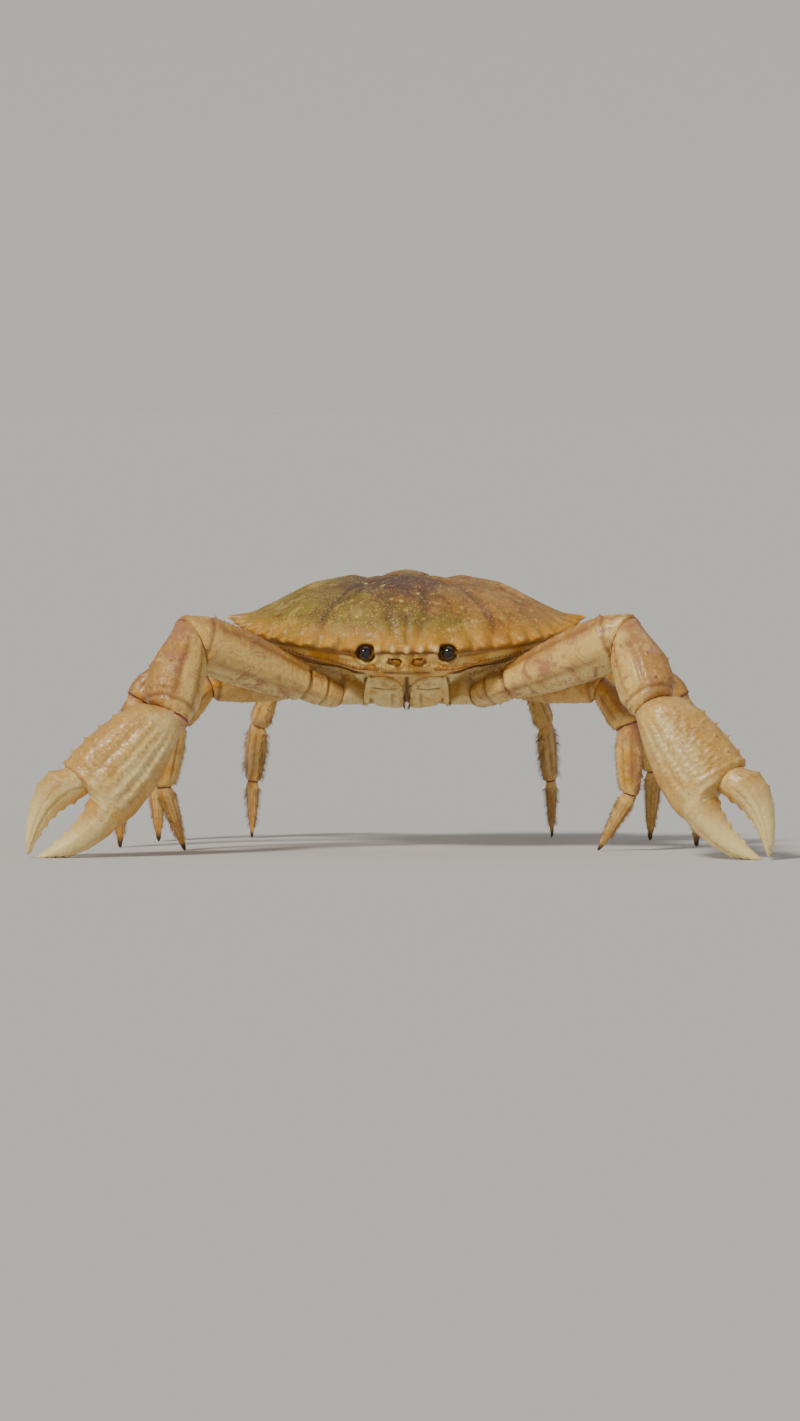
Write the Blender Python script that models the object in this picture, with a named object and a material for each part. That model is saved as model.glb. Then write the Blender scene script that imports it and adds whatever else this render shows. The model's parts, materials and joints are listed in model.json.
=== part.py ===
"""A life-size Dungeness crab that stands tall on its walking legs, with both claws lowered.

The crab faces -Y and its left side is +X. Every length is in metres. The shell is shaped in the
body's own frame, then pitched nose down and lifted. Limbs are worked out in the world frame, from
the coxa that carries them to the tip on the floor.
"""

import math

import bmesh
import bpy
from mathutils import Matrix, Vector

# Driving dimensions
CARAPACE_WIDTH = 0.166
BODY_HEIGHT = 0.106
BODY_PITCH = math.radians(9)
GAP = 0.0003

# The shell: its rim is an ellipse in front and a straight taper behind
RIM_HALF_WIDTH = 0.485 * CARAPACE_WIDTH
RIM_HALF_LENGTH = 0.395 * CARAPACE_WIDTH
RIM_CENTRE_Y = 0.02 * CARAPACE_WIDTH
TAPER_START = Vector((0.474, 0.040, 0)) * CARAPACE_WIDTH
TAPER_END = Vector((0.242, 0.240, 0)) * CARAPACE_WIDTH
TAPER_BULGE = 0.008 * CARAPACE_WIDTH
REAR_Y = 0.281 * CARAPACE_WIDTH
SHELL_CENTRE = Vector((0, -0.05, 0)) * CARAPACE_WIDTH
DOME_HEIGHT = 0.140 * CARAPACE_WIDTH
BELLY_DEPTH = 0.205 * CARAPACE_WIDTH
PART_PLACE = Vector((0, 0, -0.056)) * CARAPACE_WIDTH
PART_TILT = math.radians(6.5)
ROUND_HALF_WIDTH = 0.470 * CARAPACE_WIDTH
ROUND_FRONT = 0.345 * CARAPACE_WIDTH
ROUND_REAR = 0.330 * CARAPACE_WIDTH
COLUMNS = 72
ROWS = 22

# Angles round the rim from the middle of the front, and how far each tooth or notch stands out
FRONT_TEETH = (
    (0.0, 0.026),
    (2.1, 0.012),
    (4.7, 0.020),
    (6.9, 0.004),
    (9.5, 0.012),
    (11.5, -0.008),
    (13.5, -0.016),
    (15.6, -0.008),
    (17.8, 0.014),
)
SIDE_TEETH = 9
SIDE_TEETH_END = 88.0
SIDE_NOTCH_SHARE = 0.66
SIDE_NOTCH = -0.012
SIDE_TOOTH = 0.014
LAST_TOOTH = 0.030
TOOTH_LEAN = 0.45
TOOTH_LIFT = 0.35
TAPER_POINTS = 6
REAR_POINTS = 4

# Lobes and hollows of the back: place, spread across and along, and height, in shell widths
LOBES = (
    (0.00, -0.190, 0.085, 0.075, 0.008),
    (0.11, -0.225, 0.055, 0.050, 0.008),
    (0.00, 0.085, 0.060, 0.060, 0.006),
    (0.00, 0.195, 0.050, 0.035, 0.006),
    (0.26, 0.010, 0.115, 0.095, 0.014),
    (0.29, -0.160, 0.065, 0.050, 0.008),
    (0.105, 0.055, 0.028, 0.075, -0.012),
    (0.100, -0.095, 0.050, 0.030, -0.009),
    (0.200, -0.170, 0.030, 0.055, -0.008),
)

# Eyes, feelers and mouthparts, in the body's frame
ORBIT_PLACE = Vector((0.113, -0.356, -0.026)) * CARAPACE_WIDTH
ORBIT_RADIUS = 0.0265 * CARAPACE_WIDTH
EYE_RADIUS = 0.0033
EYE_LENGTH = 0.0096
EYE_DIRECTION = Vector((0.46, -0.82, 0.32)).normalized()
EYE_SHARE_SUNK = 0.12
ANTENNA_ROOT = Vector((0.082, -0.345, -0.066)) * CARAPACE_WIDTH
ANTENNA_LENGTH = 0.026
ANTENNA_RADIUS = 0.0009
ANTENNULE_ROOT = Vector((0.028, -0.357, -0.050)) * CARAPACE_WIDTH
ANTENNULE_LENGTH = 0.011
ANTENNULE_RADIUS = 0.0011
MOUTH_PLACE = Vector((0, -0.262, -0.148)) * CARAPACE_WIDTH
MOUTH_LEAN = math.radians(38)
MOUTH_HEIGHT = 0.132 * CARAPACE_WIDTH
MOUTH_HALF_WIDTH = 0.116 * CARAPACE_WIDTH
MOUTHPART_THICKNESS = 0.0030

# The folded tail
PLEON_THICKNESS = 0.0030
PLEON_REAR_HALF_WIDTH = 0.090 * CARAPACE_WIDTH
PLEON_TIP_HALF_WIDTH = 0.018 * CARAPACE_WIDTH
PLEON_TIP_Y = -0.085 * CARAPACE_WIDTH
PLEON_JOINTS = 7

# Walking legs: coxa place in the body's frame, heading forward of sideways, size, and bends at
# the wrist, shin and toe. Headings and bends are in degrees, left leg then right leg.
LEG_COXAE = (
    Vector((0.260, -0.080, -0.168)) * CARAPACE_WIDTH,
    Vector((0.285, 0.020, -0.165)) * CARAPACE_WIDTH,
    Vector((0.275, 0.118, -0.155)) * CARAPACE_WIDTH,
    Vector((0.225, 0.205, -0.135)) * CARAPACE_WIDTH,
)
LEG_SIZES = (0.90, 1.0, 0.94, 0.78)
LEG_HEADINGS = ((30, 25), (4, 9), (-26, -21), (-58, -52))
LEG_BENDS = (
    ((50, 38, 34), (44, 36, 30)),
    ((44, 36, 16), (48, 34, 14)),
    ((42, 36, 14), (46, 34, 12)),
    ((30, 26, 8), (34, 24, 8)),
)
LEG_LENGTHS = (0.060, 0.0255, 0.0355, 0.0350)
LEG_HEIGHT = 0.0094
LEG_THICKNESS = 0.0059
COXA_RADIUS = 0.0078
COXA_DROP = math.radians(8)
LAST_LEG_FLATTENING = 0.72
LEG_SIDES = 12

# Share along a segment, then its height and thickness as shares of LEG_HEIGHT and LEG_THICKNESS
MERUS_PROFILE = (
    (0.00, 0.66, 0.86),
    (0.10, 0.74, 0.98),
    (0.20, 0.64, 0.84),
    (0.27, 0.84, 0.94),
    (0.48, 1.00, 1.00),
    (0.74, 0.98, 1.00),
    (0.93, 0.92, 1.04),
    (1.00, 0.74, 0.90),
)
CARPUS_PROFILE = (
    (0.00, 0.58, 0.76),
    (0.16, 0.72, 0.90),
    (0.42, 0.84, 1.00),
    (0.72, 0.94, 1.08),
    (0.92, 0.88, 1.00),
    (1.00, 0.70, 0.84),
)
PROPODUS_PROFILE = (
    (0.00, 0.56, 0.70),
    (0.12, 0.74, 0.84),
    (0.40, 0.84, 0.92),
    (0.72, 0.76, 0.86),
    (0.93, 0.64, 0.78),
    (1.00, 0.50, 0.66),
)
DACTYL_PROFILE = (
    (0.00, 0.42, 0.56),
    (0.12, 0.52, 0.66),
    (0.38, 0.44, 0.56),
    (0.66, 0.32, 0.42),
    (0.88, 0.19, 0.26),
    (1.00, 0.11, 0.17),
)

# Claws, left then right: elbow and wrist in the world, and the heading of the claw
CLAW_COXA = Vector((0.195, -0.205, -0.178)) * CARAPACE_WIDTH
CLAW_COXA_RADIUS = 0.0098
CLAW_ELBOWS = (Vector((0.1010, -0.0700, 0.1000)), Vector((-0.1000, -0.0680, 0.0990)))
CLAW_WRISTS = (Vector((0.1120, -0.0910, 0.0690)), Vector((-0.1090, -0.0880, 0.0650)))
CLAW_HEADINGS = (Vector((0.86, -0.50, 0)), Vector((-0.97, -0.18, 0)))
CLAW_BACKS = (Vector((0.60, -0.05, 0.80)), Vector((-0.62, 0.10, 0.78)))
CLAW_LENGTH = 0.092
ARM_BACK = Vector((0, -0.25, 1))
CLAW_SIDES = 16

# Share along, half height, half thickness and rise of the centre
CLAW_ARM_PROFILE = (
    (0.00, 0.0060, 0.0060, 0.0),
    (0.10, 0.0074, 0.0074, 0.0),
    (0.20, 0.0074, 0.0070, 0.0),
    (0.27, 0.0088, 0.0080, 0.0),
    (0.46, 0.0114, 0.0094, 0.0),
    (0.70, 0.0134, 0.0106, 0.0004),
    (0.92, 0.0134, 0.0108, 0.0004),
    (1.00, 0.0098, 0.0084, 0.0),
)
CLAW_CARPUS_PROFILE = (
    (0.00, 0.0080, 0.0078, 0.0),
    (0.20, 0.0108, 0.0102, 0.0008),
    (0.48, 0.0134, 0.0122, 0.0014),
    (0.78, 0.0136, 0.0122, 0.0010),
    (0.94, 0.0112, 0.0104, 0.0004),
    (1.00, 0.0086, 0.0082, 0.0),
)
PALM_PROFILE = (
    (0.000, 0.0084, 0.0078, 0.0),
    (0.060, 0.0124, 0.0104, 0.0012),
    (0.180, 0.0166, 0.0126, 0.0010),
    (0.330, 0.0194, 0.0134, 0.0),
    (0.470, 0.0204, 0.0128, -0.0006),
    (0.540, 0.0196, 0.0112, -0.0008),
    (0.566, 0.0096, 0.0098, -0.0098),
    (0.650, 0.0080, 0.0082, -0.0112),
    (0.760, 0.0064, 0.0066, -0.0106),
    (0.870, 0.0045, 0.0048, -0.0082),
    (0.955, 0.0028, 0.0030, -0.0050),
    (1.000, 0.0011, 0.0013, -0.0030),
)
FINGER_PROFILE = (
    (0.566, 0.0084, 0.0090, 0.0094),
    (0.620, 0.0094, 0.0094, 0.0118),
    (0.710, 0.0082, 0.0080, 0.0128),
    (0.800, 0.0062, 0.0062, 0.0112),
    (0.890, 0.0042, 0.0046, 0.0076),
    (0.955, 0.0026, 0.0030, 0.0040),
    (0.992, 0.0010, 0.0013, 0.0014),
)
SPINE_SIDES = 6
SPINE_HEIGHT = 0.0028
SPINE_RADIUS = 0.0016
SPINE_TIP = 0.12
SPINE_SUNK = 0.0006
BITE_HEIGHT = 0.0013
BITE_RADIUS = 0.0022
BITE_TIP = 0.55
BITE_SHARES = (0.61, 0.67, 0.73, 0.79, 0.85)
FINGER_BITE_SHARES = (0.18, 0.32, 0.46, 0.60, 0.74)
ARM_SPINES = (0.70, 0.90)
CARPUS_SPINES = (0.46, 0.80)
CARPUS_LEANS = (-0.9, -0.3, 0.3, 0.9)
PALM_SPINES = (0.10, 0.19, 0.28, 0.37, 0.46)
PALM_SIDE_SPINES = (0.15, 0.25, 0.35, 0.45)
PALM_LEANS = (-0.55, 0.55)
FINGER_SPINES = (0.12, 0.32, 0.52)

# Linear colour, roughness
FINISHES = {
    "shell": ((0.50, 0.27, 0.11), 0.42),
    "claw": ((0.72, 0.55, 0.32), 0.40),
    "leg": ((0.60, 0.36, 0.16), 0.45),
    "toe": ((0.62, 0.42, 0.22), 0.42),
    "underside": ((0.76, 0.62, 0.40), 0.48),
    "eye": ((0.02, 0.016, 0.014), 0.12),
    "feeler": ((0.55, 0.26, 0.10), 0.45),
}

BODY_FRAME = Matrix.Translation((0, 0, BODY_HEIGHT)) @ Matrix.Rotation(BODY_PITCH, 4, "X")


# Scene set-up

def clear_scene():
    for obj in list(bpy.data.objects):
        bpy.data.objects.remove(obj)


def new_collection(name, hidden=False):
    collection = bpy.data.collections.new(name)
    bpy.context.scene.collection.children.link(collection)
    collection.hide_render = hidden
    return collection


def make_materials():
    made = {}
    for name, (colour, roughness) in FINISHES.items():
        material = bpy.data.materials.new(name)
        material.use_nodes = True
        shader = material.node_tree.nodes["Principled BSDF"]
        shader.inputs["Base Color"].default_value = (*colour, 1)
        shader.inputs["Roughness"].default_value = roughness
        shader.inputs["Metallic"].default_value = 0
        made[name] = material
    return made


def object_from(name, bm, collection, material=None):
    mesh = bpy.data.meshes.new(name)
    bmesh.ops.recalc_face_normals(bm, faces=bm.faces)
    bm.to_mesh(mesh)
    bm.free()
    obj = bpy.data.objects.new(name, mesh)
    collection.objects.link(obj)
    if material:
        mesh.materials.append(material)
    mesh.shade_smooth()
    mesh.set_sharp_from_angle(angle=math.radians(50))
    return obj


def freeze(obj):
    """Replaces an object's mesh by the mesh that its modifiers make."""
    graph = bpy.context.evaluated_depsgraph_get()
    graph.update()
    mesh = bpy.data.meshes.new_from_object(obj.evaluated_get(graph))
    obj.modifiers.clear()
    obj.data = mesh


def keep_largest(obj):
    """Drops every closed surface of an object but the largest."""
    bm = bmesh.new()
    bm.from_mesh(obj.data)
    bmesh.ops.remove_doubles(bm, verts=bm.verts, dist=1e-6)
    unseen = set(bm.faces)
    shells = []
    while unseen:
        shell = set()
        edge_of_search = [unseen.pop()]
        while edge_of_search:
            face = edge_of_search.pop()
            shell.add(face)
            near = {other for edge in face.edges for other in edge.link_faces}
            edge_of_search.extend(near & unseen)
            unseen -= near
        shells.append(shell)
    shells.sort(key=lambda faces: sum(face.calc_area() for face in faces))
    scraps = [face for shell in shells[:-1] for face in shell]
    bmesh.ops.delete(bm, geom=scraps, context="FACES")
    bm.to_mesh(obj.data)
    bm.free()


def join_pieces(obj, pieces):
    """Fuses closed pieces into an object and removes them."""
    group = bpy.data.collections.new(obj.name + "_pieces")
    bpy.context.scene.collection.children.link(group)
    for piece in pieces:
        for holder in list(piece.users_collection):
            holder.objects.unlink(piece)
        group.objects.link(piece)
    fuse = obj.modifiers.new("fuse", "BOOLEAN")
    fuse.operation = "UNION"
    fuse.operand_type = "COLLECTION"
    fuse.collection = group
    freeze(obj)
    for piece in pieces:
        bpy.data.objects.remove(piece)
    bpy.data.collections.remove(group)
    keep_largest(obj)


def cut_with(obj, cutters):
    """Cuts closed cutters out of an object and removes them."""
    for cutter in cutters:
        cutter.hide_render = True
        cutter.display_type = "WIRE"
        cut = obj.modifiers.new("cut_" + cutter.name, "BOOLEAN")
        cut.operation = "DIFFERENCE"
        cut.solver = "MANIFOLD"
        cut.object = cutter
    freeze(obj)
    for cutter in cutters:
        bpy.data.objects.remove(cutter)
    keep_largest(obj)


# Shapes

def smooth_step(value):
    value = min(max(value, 0), 1)
    return value * value * (3 - 2 * value)


def rim_half():
    """The rim from the middle of the front round the left side to the middle of the back.

    Each item is the smooth rim point and the outward offset that makes its tooth or notch.
    """
    angles = list(FRONT_TEETH)
    first = FRONT_TEETH[-1][0]
    step = (SIDE_TEETH_END - first) / SIDE_TEETH
    for tooth in range(SIDE_TEETH):
        start = first + tooth * step
        reach = LAST_TOOTH if tooth == SIDE_TEETH - 1 else SIDE_TOOTH
        angles.append((start + SIDE_NOTCH_SHARE * step, SIDE_NOTCH))
        angles.append((start + step, reach))
    rim = []
    for degrees, offset in angles:
        angle = math.radians(degrees)
        out = Vector((math.sin(angle), -math.cos(angle), 0))
        place = Vector((RIM_HALF_WIDTH * out.x, RIM_CENTRE_Y + RIM_HALF_LENGTH * out.y, 0))
        forward = Vector((0, -TOOTH_LEAN if 20 < degrees < 85 else 0, 0))
        rim.append((place, (out + forward).normalized() * offset * CARAPACE_WIDTH))
    outward = Vector((1, 1, 0)).normalized()
    for point in range(TAPER_POINTS):
        share = point / (TAPER_POINTS - 1)
        bulge = outward * TAPER_BULGE * math.sin(math.pi * share)
        rim.append((TAPER_START.lerp(TAPER_END, share) + bulge, Vector()))
    for point in range(REAR_POINTS):
        share = (point + 1) / REAR_POINTS
        x = TAPER_END.x * (1 - share)
        y = REAR_Y - (REAR_Y - TAPER_END.y) * (1 - share) ** 2
        rim.append((Vector((x, y, 0)), Vector()))
    return rim


def relief(x, y):
    """Height of the lobes and hollows of the back at a place."""
    x, y = abs(x) / CARAPACE_WIDTH, y / CARAPACE_WIDTH
    height = 0.0
    for lobe_x, lobe_y, spread_x, spread_y, lobe_height in LOBES:
        away = ((x - lobe_x) / spread_x) ** 2 + ((y - lobe_y) / spread_y) ** 2
        height += lobe_height * math.exp(-away)
    return height * CARAPACE_WIDTH


def shell_point(rim, tooth, level):
    """A point of the shell. Level is 1 at the top of the dome, 0 at the rim and -1 at the belly."""
    heading = (rim - SHELL_CENTRE).normalized()
    front = smooth_step(-heading.y)
    rear = smooth_step(heading.y)
    if level >= 0:
        share = 1 - level
        steepness = 1.95 + 0.9 * front + 0.1 * rear
        height = DOME_HEIGHT * (1 - share**steepness)
        tooth_share = smooth_step((share - 0.86) / 0.14)
    else:
        turn = -level * math.pi / 2
        wall = smooth_step((-heading.y - 0.74) / 0.26)
        share = max(math.cos(turn), 0) ** (1.75 - 1.05 * wall - 0.95 * rear)
        height = -BELLY_DEPTH * math.sin(turn) ** (1.6 - 0.45 * wall - 0.5 * rear)
        tooth_share = max(0.0, 1 + level * ROWS / 2)
    round_length = ROUND_FRONT if heading.y < 0 else ROUND_REAR
    round_reach = 1 / math.hypot(heading.x / ROUND_HALF_WIDTH, heading.y / round_length)
    reach = (rim - SHELL_CENTRE).length
    reach = round_reach + (reach - round_reach) * share**3
    place = SHELL_CENTRE + heading * reach * share + tooth * tooth_share
    place.z = height - 0.015 * CARAPACE_WIDTH * front * share
    place.z += TOOTH_LIFT * tooth.dot(heading) * tooth_share
    if level > 0:
        place.z += relief(place.x, place.y) * (1 - share**4)
    return place


def shell_mesh():
    """The whole body: a sphere whose equator becomes the rim and whose poles are back and belly."""
    half = rim_half()
    bm = bmesh.new()
    bmesh.ops.create_uvsphere(bm, u_segments=COLUMNS, v_segments=ROWS, radius=1)
    for vert in bm.verts:
        turn = math.atan2(vert.co.x, -vert.co.y) % (2 * math.pi)
        column = round(turn / (2 * math.pi) * COLUMNS) % COLUMNS
        row = round(math.acos(max(-1, min(1, vert.co.z))) / math.pi * ROWS)
        mirrored = column > COLUMNS // 2
        rim, tooth = half[COLUMNS - column if mirrored else column]
        vert.co = shell_point(rim, tooth, 1 - 2 * row / ROWS)
        if mirrored:
            vert.co.x *= -1
    return bm


def ring_at(centre, up, side, height, thickness, sides, keel=0.0):
    """One section of a limb: an oval that a keel narrows towards its upper and lower edge."""
    ring = []
    for corner in range(sides):
        turn = 2 * math.pi * corner / sides
        narrow = 1 - keel * abs(math.cos(turn))
        offset = up * height * math.cos(turn) + side * thickness * narrow * math.sin(turn)
        ring.append(centre + offset)
    return ring


def held_before(point, along, plane):
    """Moves a point back along an axis until it lies GAP / 2 before a joint plane."""
    place, normal = plane
    over = (point - place).dot(normal) + GAP / 2
    if over <= 0:
        return point
    return point - along * (over / along.dot(normal))


def loft(name, rings, collection, material=None):
    """A closed skin over rings of equal count, with flat ends."""
    bm = bmesh.new()
    rows = [[bm.verts.new(place) for place in ring] for ring in rings]
    count = len(rings[0])
    for row, following in zip(rows, rows[1:]):
        for corner in range(count):
            beside = (corner + 1) % count
            bm.faces.new((row[corner], row[beside], following[beside], following[corner]))
    bm.faces.new(list(reversed(rows[0])))
    bm.faces.new(rows[-1])
    return object_from(name, bm, collection, material)


def limb_rings(start, end, up, profile, sides, start_plane, end_plane, keel=0.0):
    """Rings of one segment. A profile item is share, half height, half thickness and rise."""
    along = (end - start).normalized()
    up = (up - along * up.dot(along)).normalized()
    side = along.cross(up)
    rings = []
    last = len(profile) - 1
    for index, (share, height, thickness, rise) in enumerate(profile):
        centre = start.lerp(end, share) + up * rise
        ring = ring_at(centre, up, side, height, thickness, sides, keel)
        if index == 0:
            place, normal = start_plane
            ring = [
                point - along * ((point - place).dot(normal) - GAP / 2) / along.dot(normal)
                for point in ring
            ]
        elif index == last:
            place, normal = end_plane
            ring = [
                point - along * ((point - place).dot(normal) + GAP / 2) / along.dot(normal)
                for point in ring
            ]
        else:
            start_back = (start_plane[0], -start_plane[1])
            ring = [held_before(point, -along, start_back) for point in ring]
            ring = [held_before(point, along, end_plane) for point in ring]
        rings.append(ring)
    return rings


def joint_plane(joint, before, after):
    """The plane that halves the bend at a joint."""
    bisector = (joint - before).normalized() + (after - joint).normalized()
    return joint, bisector.normalized()


FLOOR = (Vector((0, 0, -GAP / 2)), Vector((0, 0, -1)))


def spine(name, root, direction, collection, size=1.0, blunt=False):
    """A cone with its root sunk under the surface that it grows from: a spine or a biting tooth."""
    bm = bmesh.new()
    height = (BITE_HEIGHT if blunt else SPINE_HEIGHT) * size
    radius = (BITE_RADIUS if blunt else SPINE_RADIUS) * size
    bmesh.ops.create_cone(
        bm,
        cap_ends=True,
        segments=SPINE_SIDES,
        radius1=radius,
        radius2=radius * (BITE_TIP if blunt else SPINE_TIP),
        depth=height * 2,
    )
    turn = direction.to_track_quat("Z", "Y").to_matrix().to_4x4()
    bmesh.ops.transform(bm, matrix=Matrix.Translation(root) @ turn, verts=bm.verts)
    return object_from(name, bm, collection)


# The body

def coxa_ends():
    """Outer end and outward direction of each coxa in the world, left legs then right legs."""
    ends = {}
    for side, sign in (("left", 1), ("right", -1)):
        index = 0 if side == "left" else 1
        for leg, (place, headings) in enumerate(zip(LEG_COXAE, LEG_HEADINGS), start=1):
            heading = math.radians(headings[index])
            out = Vector((sign * math.cos(heading), -math.sin(heading), 0))
            local = Vector((place.x * sign, place.y, place.z))
            ends[f"{side}_leg_{leg}"] = (BODY_FRAME @ local, out)
        local = Vector((CLAW_COXA.x * sign, CLAW_COXA.y, CLAW_COXA.z))
        root = BODY_FRAME @ local
        ends[f"{side}_claw"] = (root, (CLAW_ELBOWS[index] - root).normalized())
    return ends


def coxa_piece(name, end, out, plane, radius, collection):
    """A short swelling from inside the body to the coxa's outer end."""
    drop = (out - Vector((0, 0, math.tan(COXA_DROP)))).normalized()
    start = end - drop * radius * 2.4
    up = Vector((0, 0, 1))
    profile = (
        (0.00, radius * 0.9, radius * 0.8, 0.0),
        (0.55, radius * 1.12, radius * 0.98, 0.0),
        (0.85, radius * 1.06, radius * 0.94, 0.0),
        (1.00, radius * 0.90, radius * 0.82, 0.0),
    )
    inner = (start, drop)
    rings = limb_rings(start, end, up, profile, 12, inner, plane)
    return loft(name, rings, collection)


def orbit_cutters(collection):
    """Each orbit and the narrow hole that the eye's stalk sits in."""
    cutters = []
    for sign in (1, -1):
        mirror = Vector((sign, 1, 1))
        bm = bmesh.new()
        bmesh.ops.create_uvsphere(bm, u_segments=12, v_segments=8, radius=ORBIT_RADIUS)
        place = BODY_FRAME @ Matrix.Translation(ORBIT_PLACE * mirror)
        bmesh.ops.transform(bm, matrix=place, verts=bm.verts)
        cutters.append(object_from(f"orbit_{sign}", bm, collection))
    return cutters


def eye_profile(radius, length):
    """Radii of a stalked eye along its length: a stalk that swells to the rounded cornea."""
    return (
        (0.00, radius * 0.62),
        (0.34, radius * 0.66),
        (0.52, radius * 0.90),
        (0.70, radius * 1.00),
        (0.86, radius * 0.80),
        (0.96, radius * 0.45),
        (1.00, radius * 0.15),
    )


def eye_rings(sign, grow):
    """Rings of an eye, grown by a margin where it serves as a socket cutter."""
    direction = EYE_DIRECTION * Vector((sign, 1, 1))
    centre = ORBIT_PLACE * Vector((sign, 1, 1))
    start = centre - direction * (ORBIT_RADIUS + EYE_LENGTH * EYE_SHARE_SUNK)
    start -= direction * grow
    up = Vector((0, 0, 1))
    across = direction.cross(up).normalized()
    lift = across.cross(direction)
    rings = []
    reach = EYE_LENGTH + 2 * grow
    for share, radius in eye_profile(EYE_RADIUS, EYE_LENGTH):
        middle = start + direction * reach * share
        ring = ring_at(middle, lift, across, radius + grow, radius + grow, 12)
        rings.append([BODY_FRAME @ point for point in ring])
    return rings


def feeler_path(root, heading, length, curl, count):
    """Points of a feeler that leaves its root along a heading and curls outwards and up."""
    points = []
    place = root.copy()
    direction = heading.normalized()
    for _ in range(count):
        points.append(place.copy())
        place = place + direction * length / (count - 1)
        direction = (direction + curl / count).normalized()
    return points


def feeler_rings(points, radius, taper, sides):
    """Rings square to a feeler's path that taper to its tip."""
    rings = []
    last = len(points) - 1
    for index, point in enumerate(points):
        before = points[max(index - 1, 0)]
        after = points[min(index + 1, last)]
        along = (after - before).normalized()
        across = along.cross(Vector((0, 0, 1))).normalized()
        lift = across.cross(along)
        size = radius * (1 - (1 - taper) * index / last)
        ring = ring_at(point, lift, across, size, size, sides)
        rings.append([BODY_FRAME @ place for place in ring])
    return rings


def feelers():
    """Name, path, radius and taper of each antenna and antennule in the body's frame."""
    made = []
    for side, sign in (("left", 1), ("right", -1)):
        mirror = Vector((sign, 1, 1))
        long_path = feeler_path(
            ANTENNA_ROOT * mirror,
            Vector((0.80 * sign, -1, -0.10)),
            ANTENNA_LENGTH,
            Vector((0.9 * sign, 0.2, 0.9)),
            9,
        )
        made.append((f"{side}_antenna", long_path, ANTENNA_RADIUS, 0.35))
        short_path = feeler_path(
            ANTENNULE_ROOT * mirror,
            Vector((0.25 * sign, -1, -0.10)),
            ANTENNULE_LENGTH,
            Vector((0.6 * sign, 0.2, 1.6)),
            5,
        )
        made.append((f"{side}_antennule", short_path, ANTENNULE_RADIUS, 0.45))
    return made


def socket(name, points, radius, collection):
    """A round hole, GAP wider than a feeler's root and GAP deeper."""
    along = (points[1] - points[0]).normalized()
    inner = points[0] - along * GAP
    rings = feeler_rings([inner, inner + along * 0.012], radius + GAP, 1.0, 8)
    return loft(name, rings, collection)


def mouth_frame():
    """Place, outward normal and upward direction of the plane of the mouth in the body's frame."""
    normal = Vector((0, -math.cos(MOUTH_LEAN), -math.sin(MOUTH_LEAN)))
    upward = Vector((0, -math.sin(MOUTH_LEAN), math.cos(MOUTH_LEAN)))
    return MOUTH_PLACE, normal, upward


def plane_cutter(name, place, normal, collection):
    """A large block on the outer side of a plane that is given in the body's frame."""
    size = 3 * CARAPACE_WIDTH
    turn = normal.to_track_quat("Z", "Y").to_matrix().to_4x4()
    frame = BODY_FRAME @ Matrix.Translation(place + normal * size / 2) @ turn
    bm = bmesh.new()
    bmesh.ops.create_cube(bm, size=size)
    bmesh.ops.transform(bm, matrix=frame, verts=bm.verts)
    return object_from(name, bm, collection)


def build_body(parts, spare, materials, coxae, planes):
    """The carapace above the part line, and the thorax below it with a coxa for each limb."""
    upper = shell_mesh()
    bmesh.ops.transform(upper, matrix=BODY_FRAME, verts=upper.verts)
    lower = upper.copy()
    carapace = object_from("carapace", upper, parts, materials["shell"])
    thorax = object_from("thorax", lower, parts, materials["underside"])

    down = Vector((0, 0, -1))
    part_up = Vector((0, -math.sin(PART_TILT), math.cos(PART_TILT)))
    below = plane_cutter("below", PART_PLACE + part_up * GAP / 2, -part_up, spare)
    cut_with(carapace, [below, *orbit_cutters(spare)])
    eye_holes = [loft(f"eye_hole_{sign}", eye_rings(sign, GAP), spare) for sign in (1, -1)]
    feeler_holes = [
        socket("hole_" + name, path, radius, spare) for name, path, radius, _ in feelers()
    ]
    cut_with(carapace, eye_holes + feeler_holes)

    pieces = []
    for name, (end, out) in coxae.items():
        claw = name.endswith("claw")
        size = CLAW_COXA_RADIUS if claw else COXA_RADIUS * LEG_SIZES[int(name[-1]) - 1]
        pieces.append(coxa_piece("coxa_" + name, end, out, planes[name], size, spare))
    join_pieces(thorax, pieces)
    place, normal, _ = mouth_frame()
    mouth = plane_cutter("mouth", place, normal, spare)
    belly = plane_cutter("belly", Vector((0, 0, -0.97 * BELLY_DEPTH)), down, spare)
    above = plane_cutter("above", PART_PLACE - part_up * GAP / 2, part_up, spare)
    cut_with(thorax, [mouth, belly, above])
    return carapace, thorax


def build_eyes_and_feelers(parts, materials):
    for side, sign in (("left", 1), ("right", -1)):
        loft(f"{side}_eye", eye_rings(sign, 0), parts, materials["eye"])
    for name, path, radius, taper in feelers():
        rings = feeler_rings(path, radius, taper, 8)
        loft(name, rings, parts, materials["feeler"])


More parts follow.
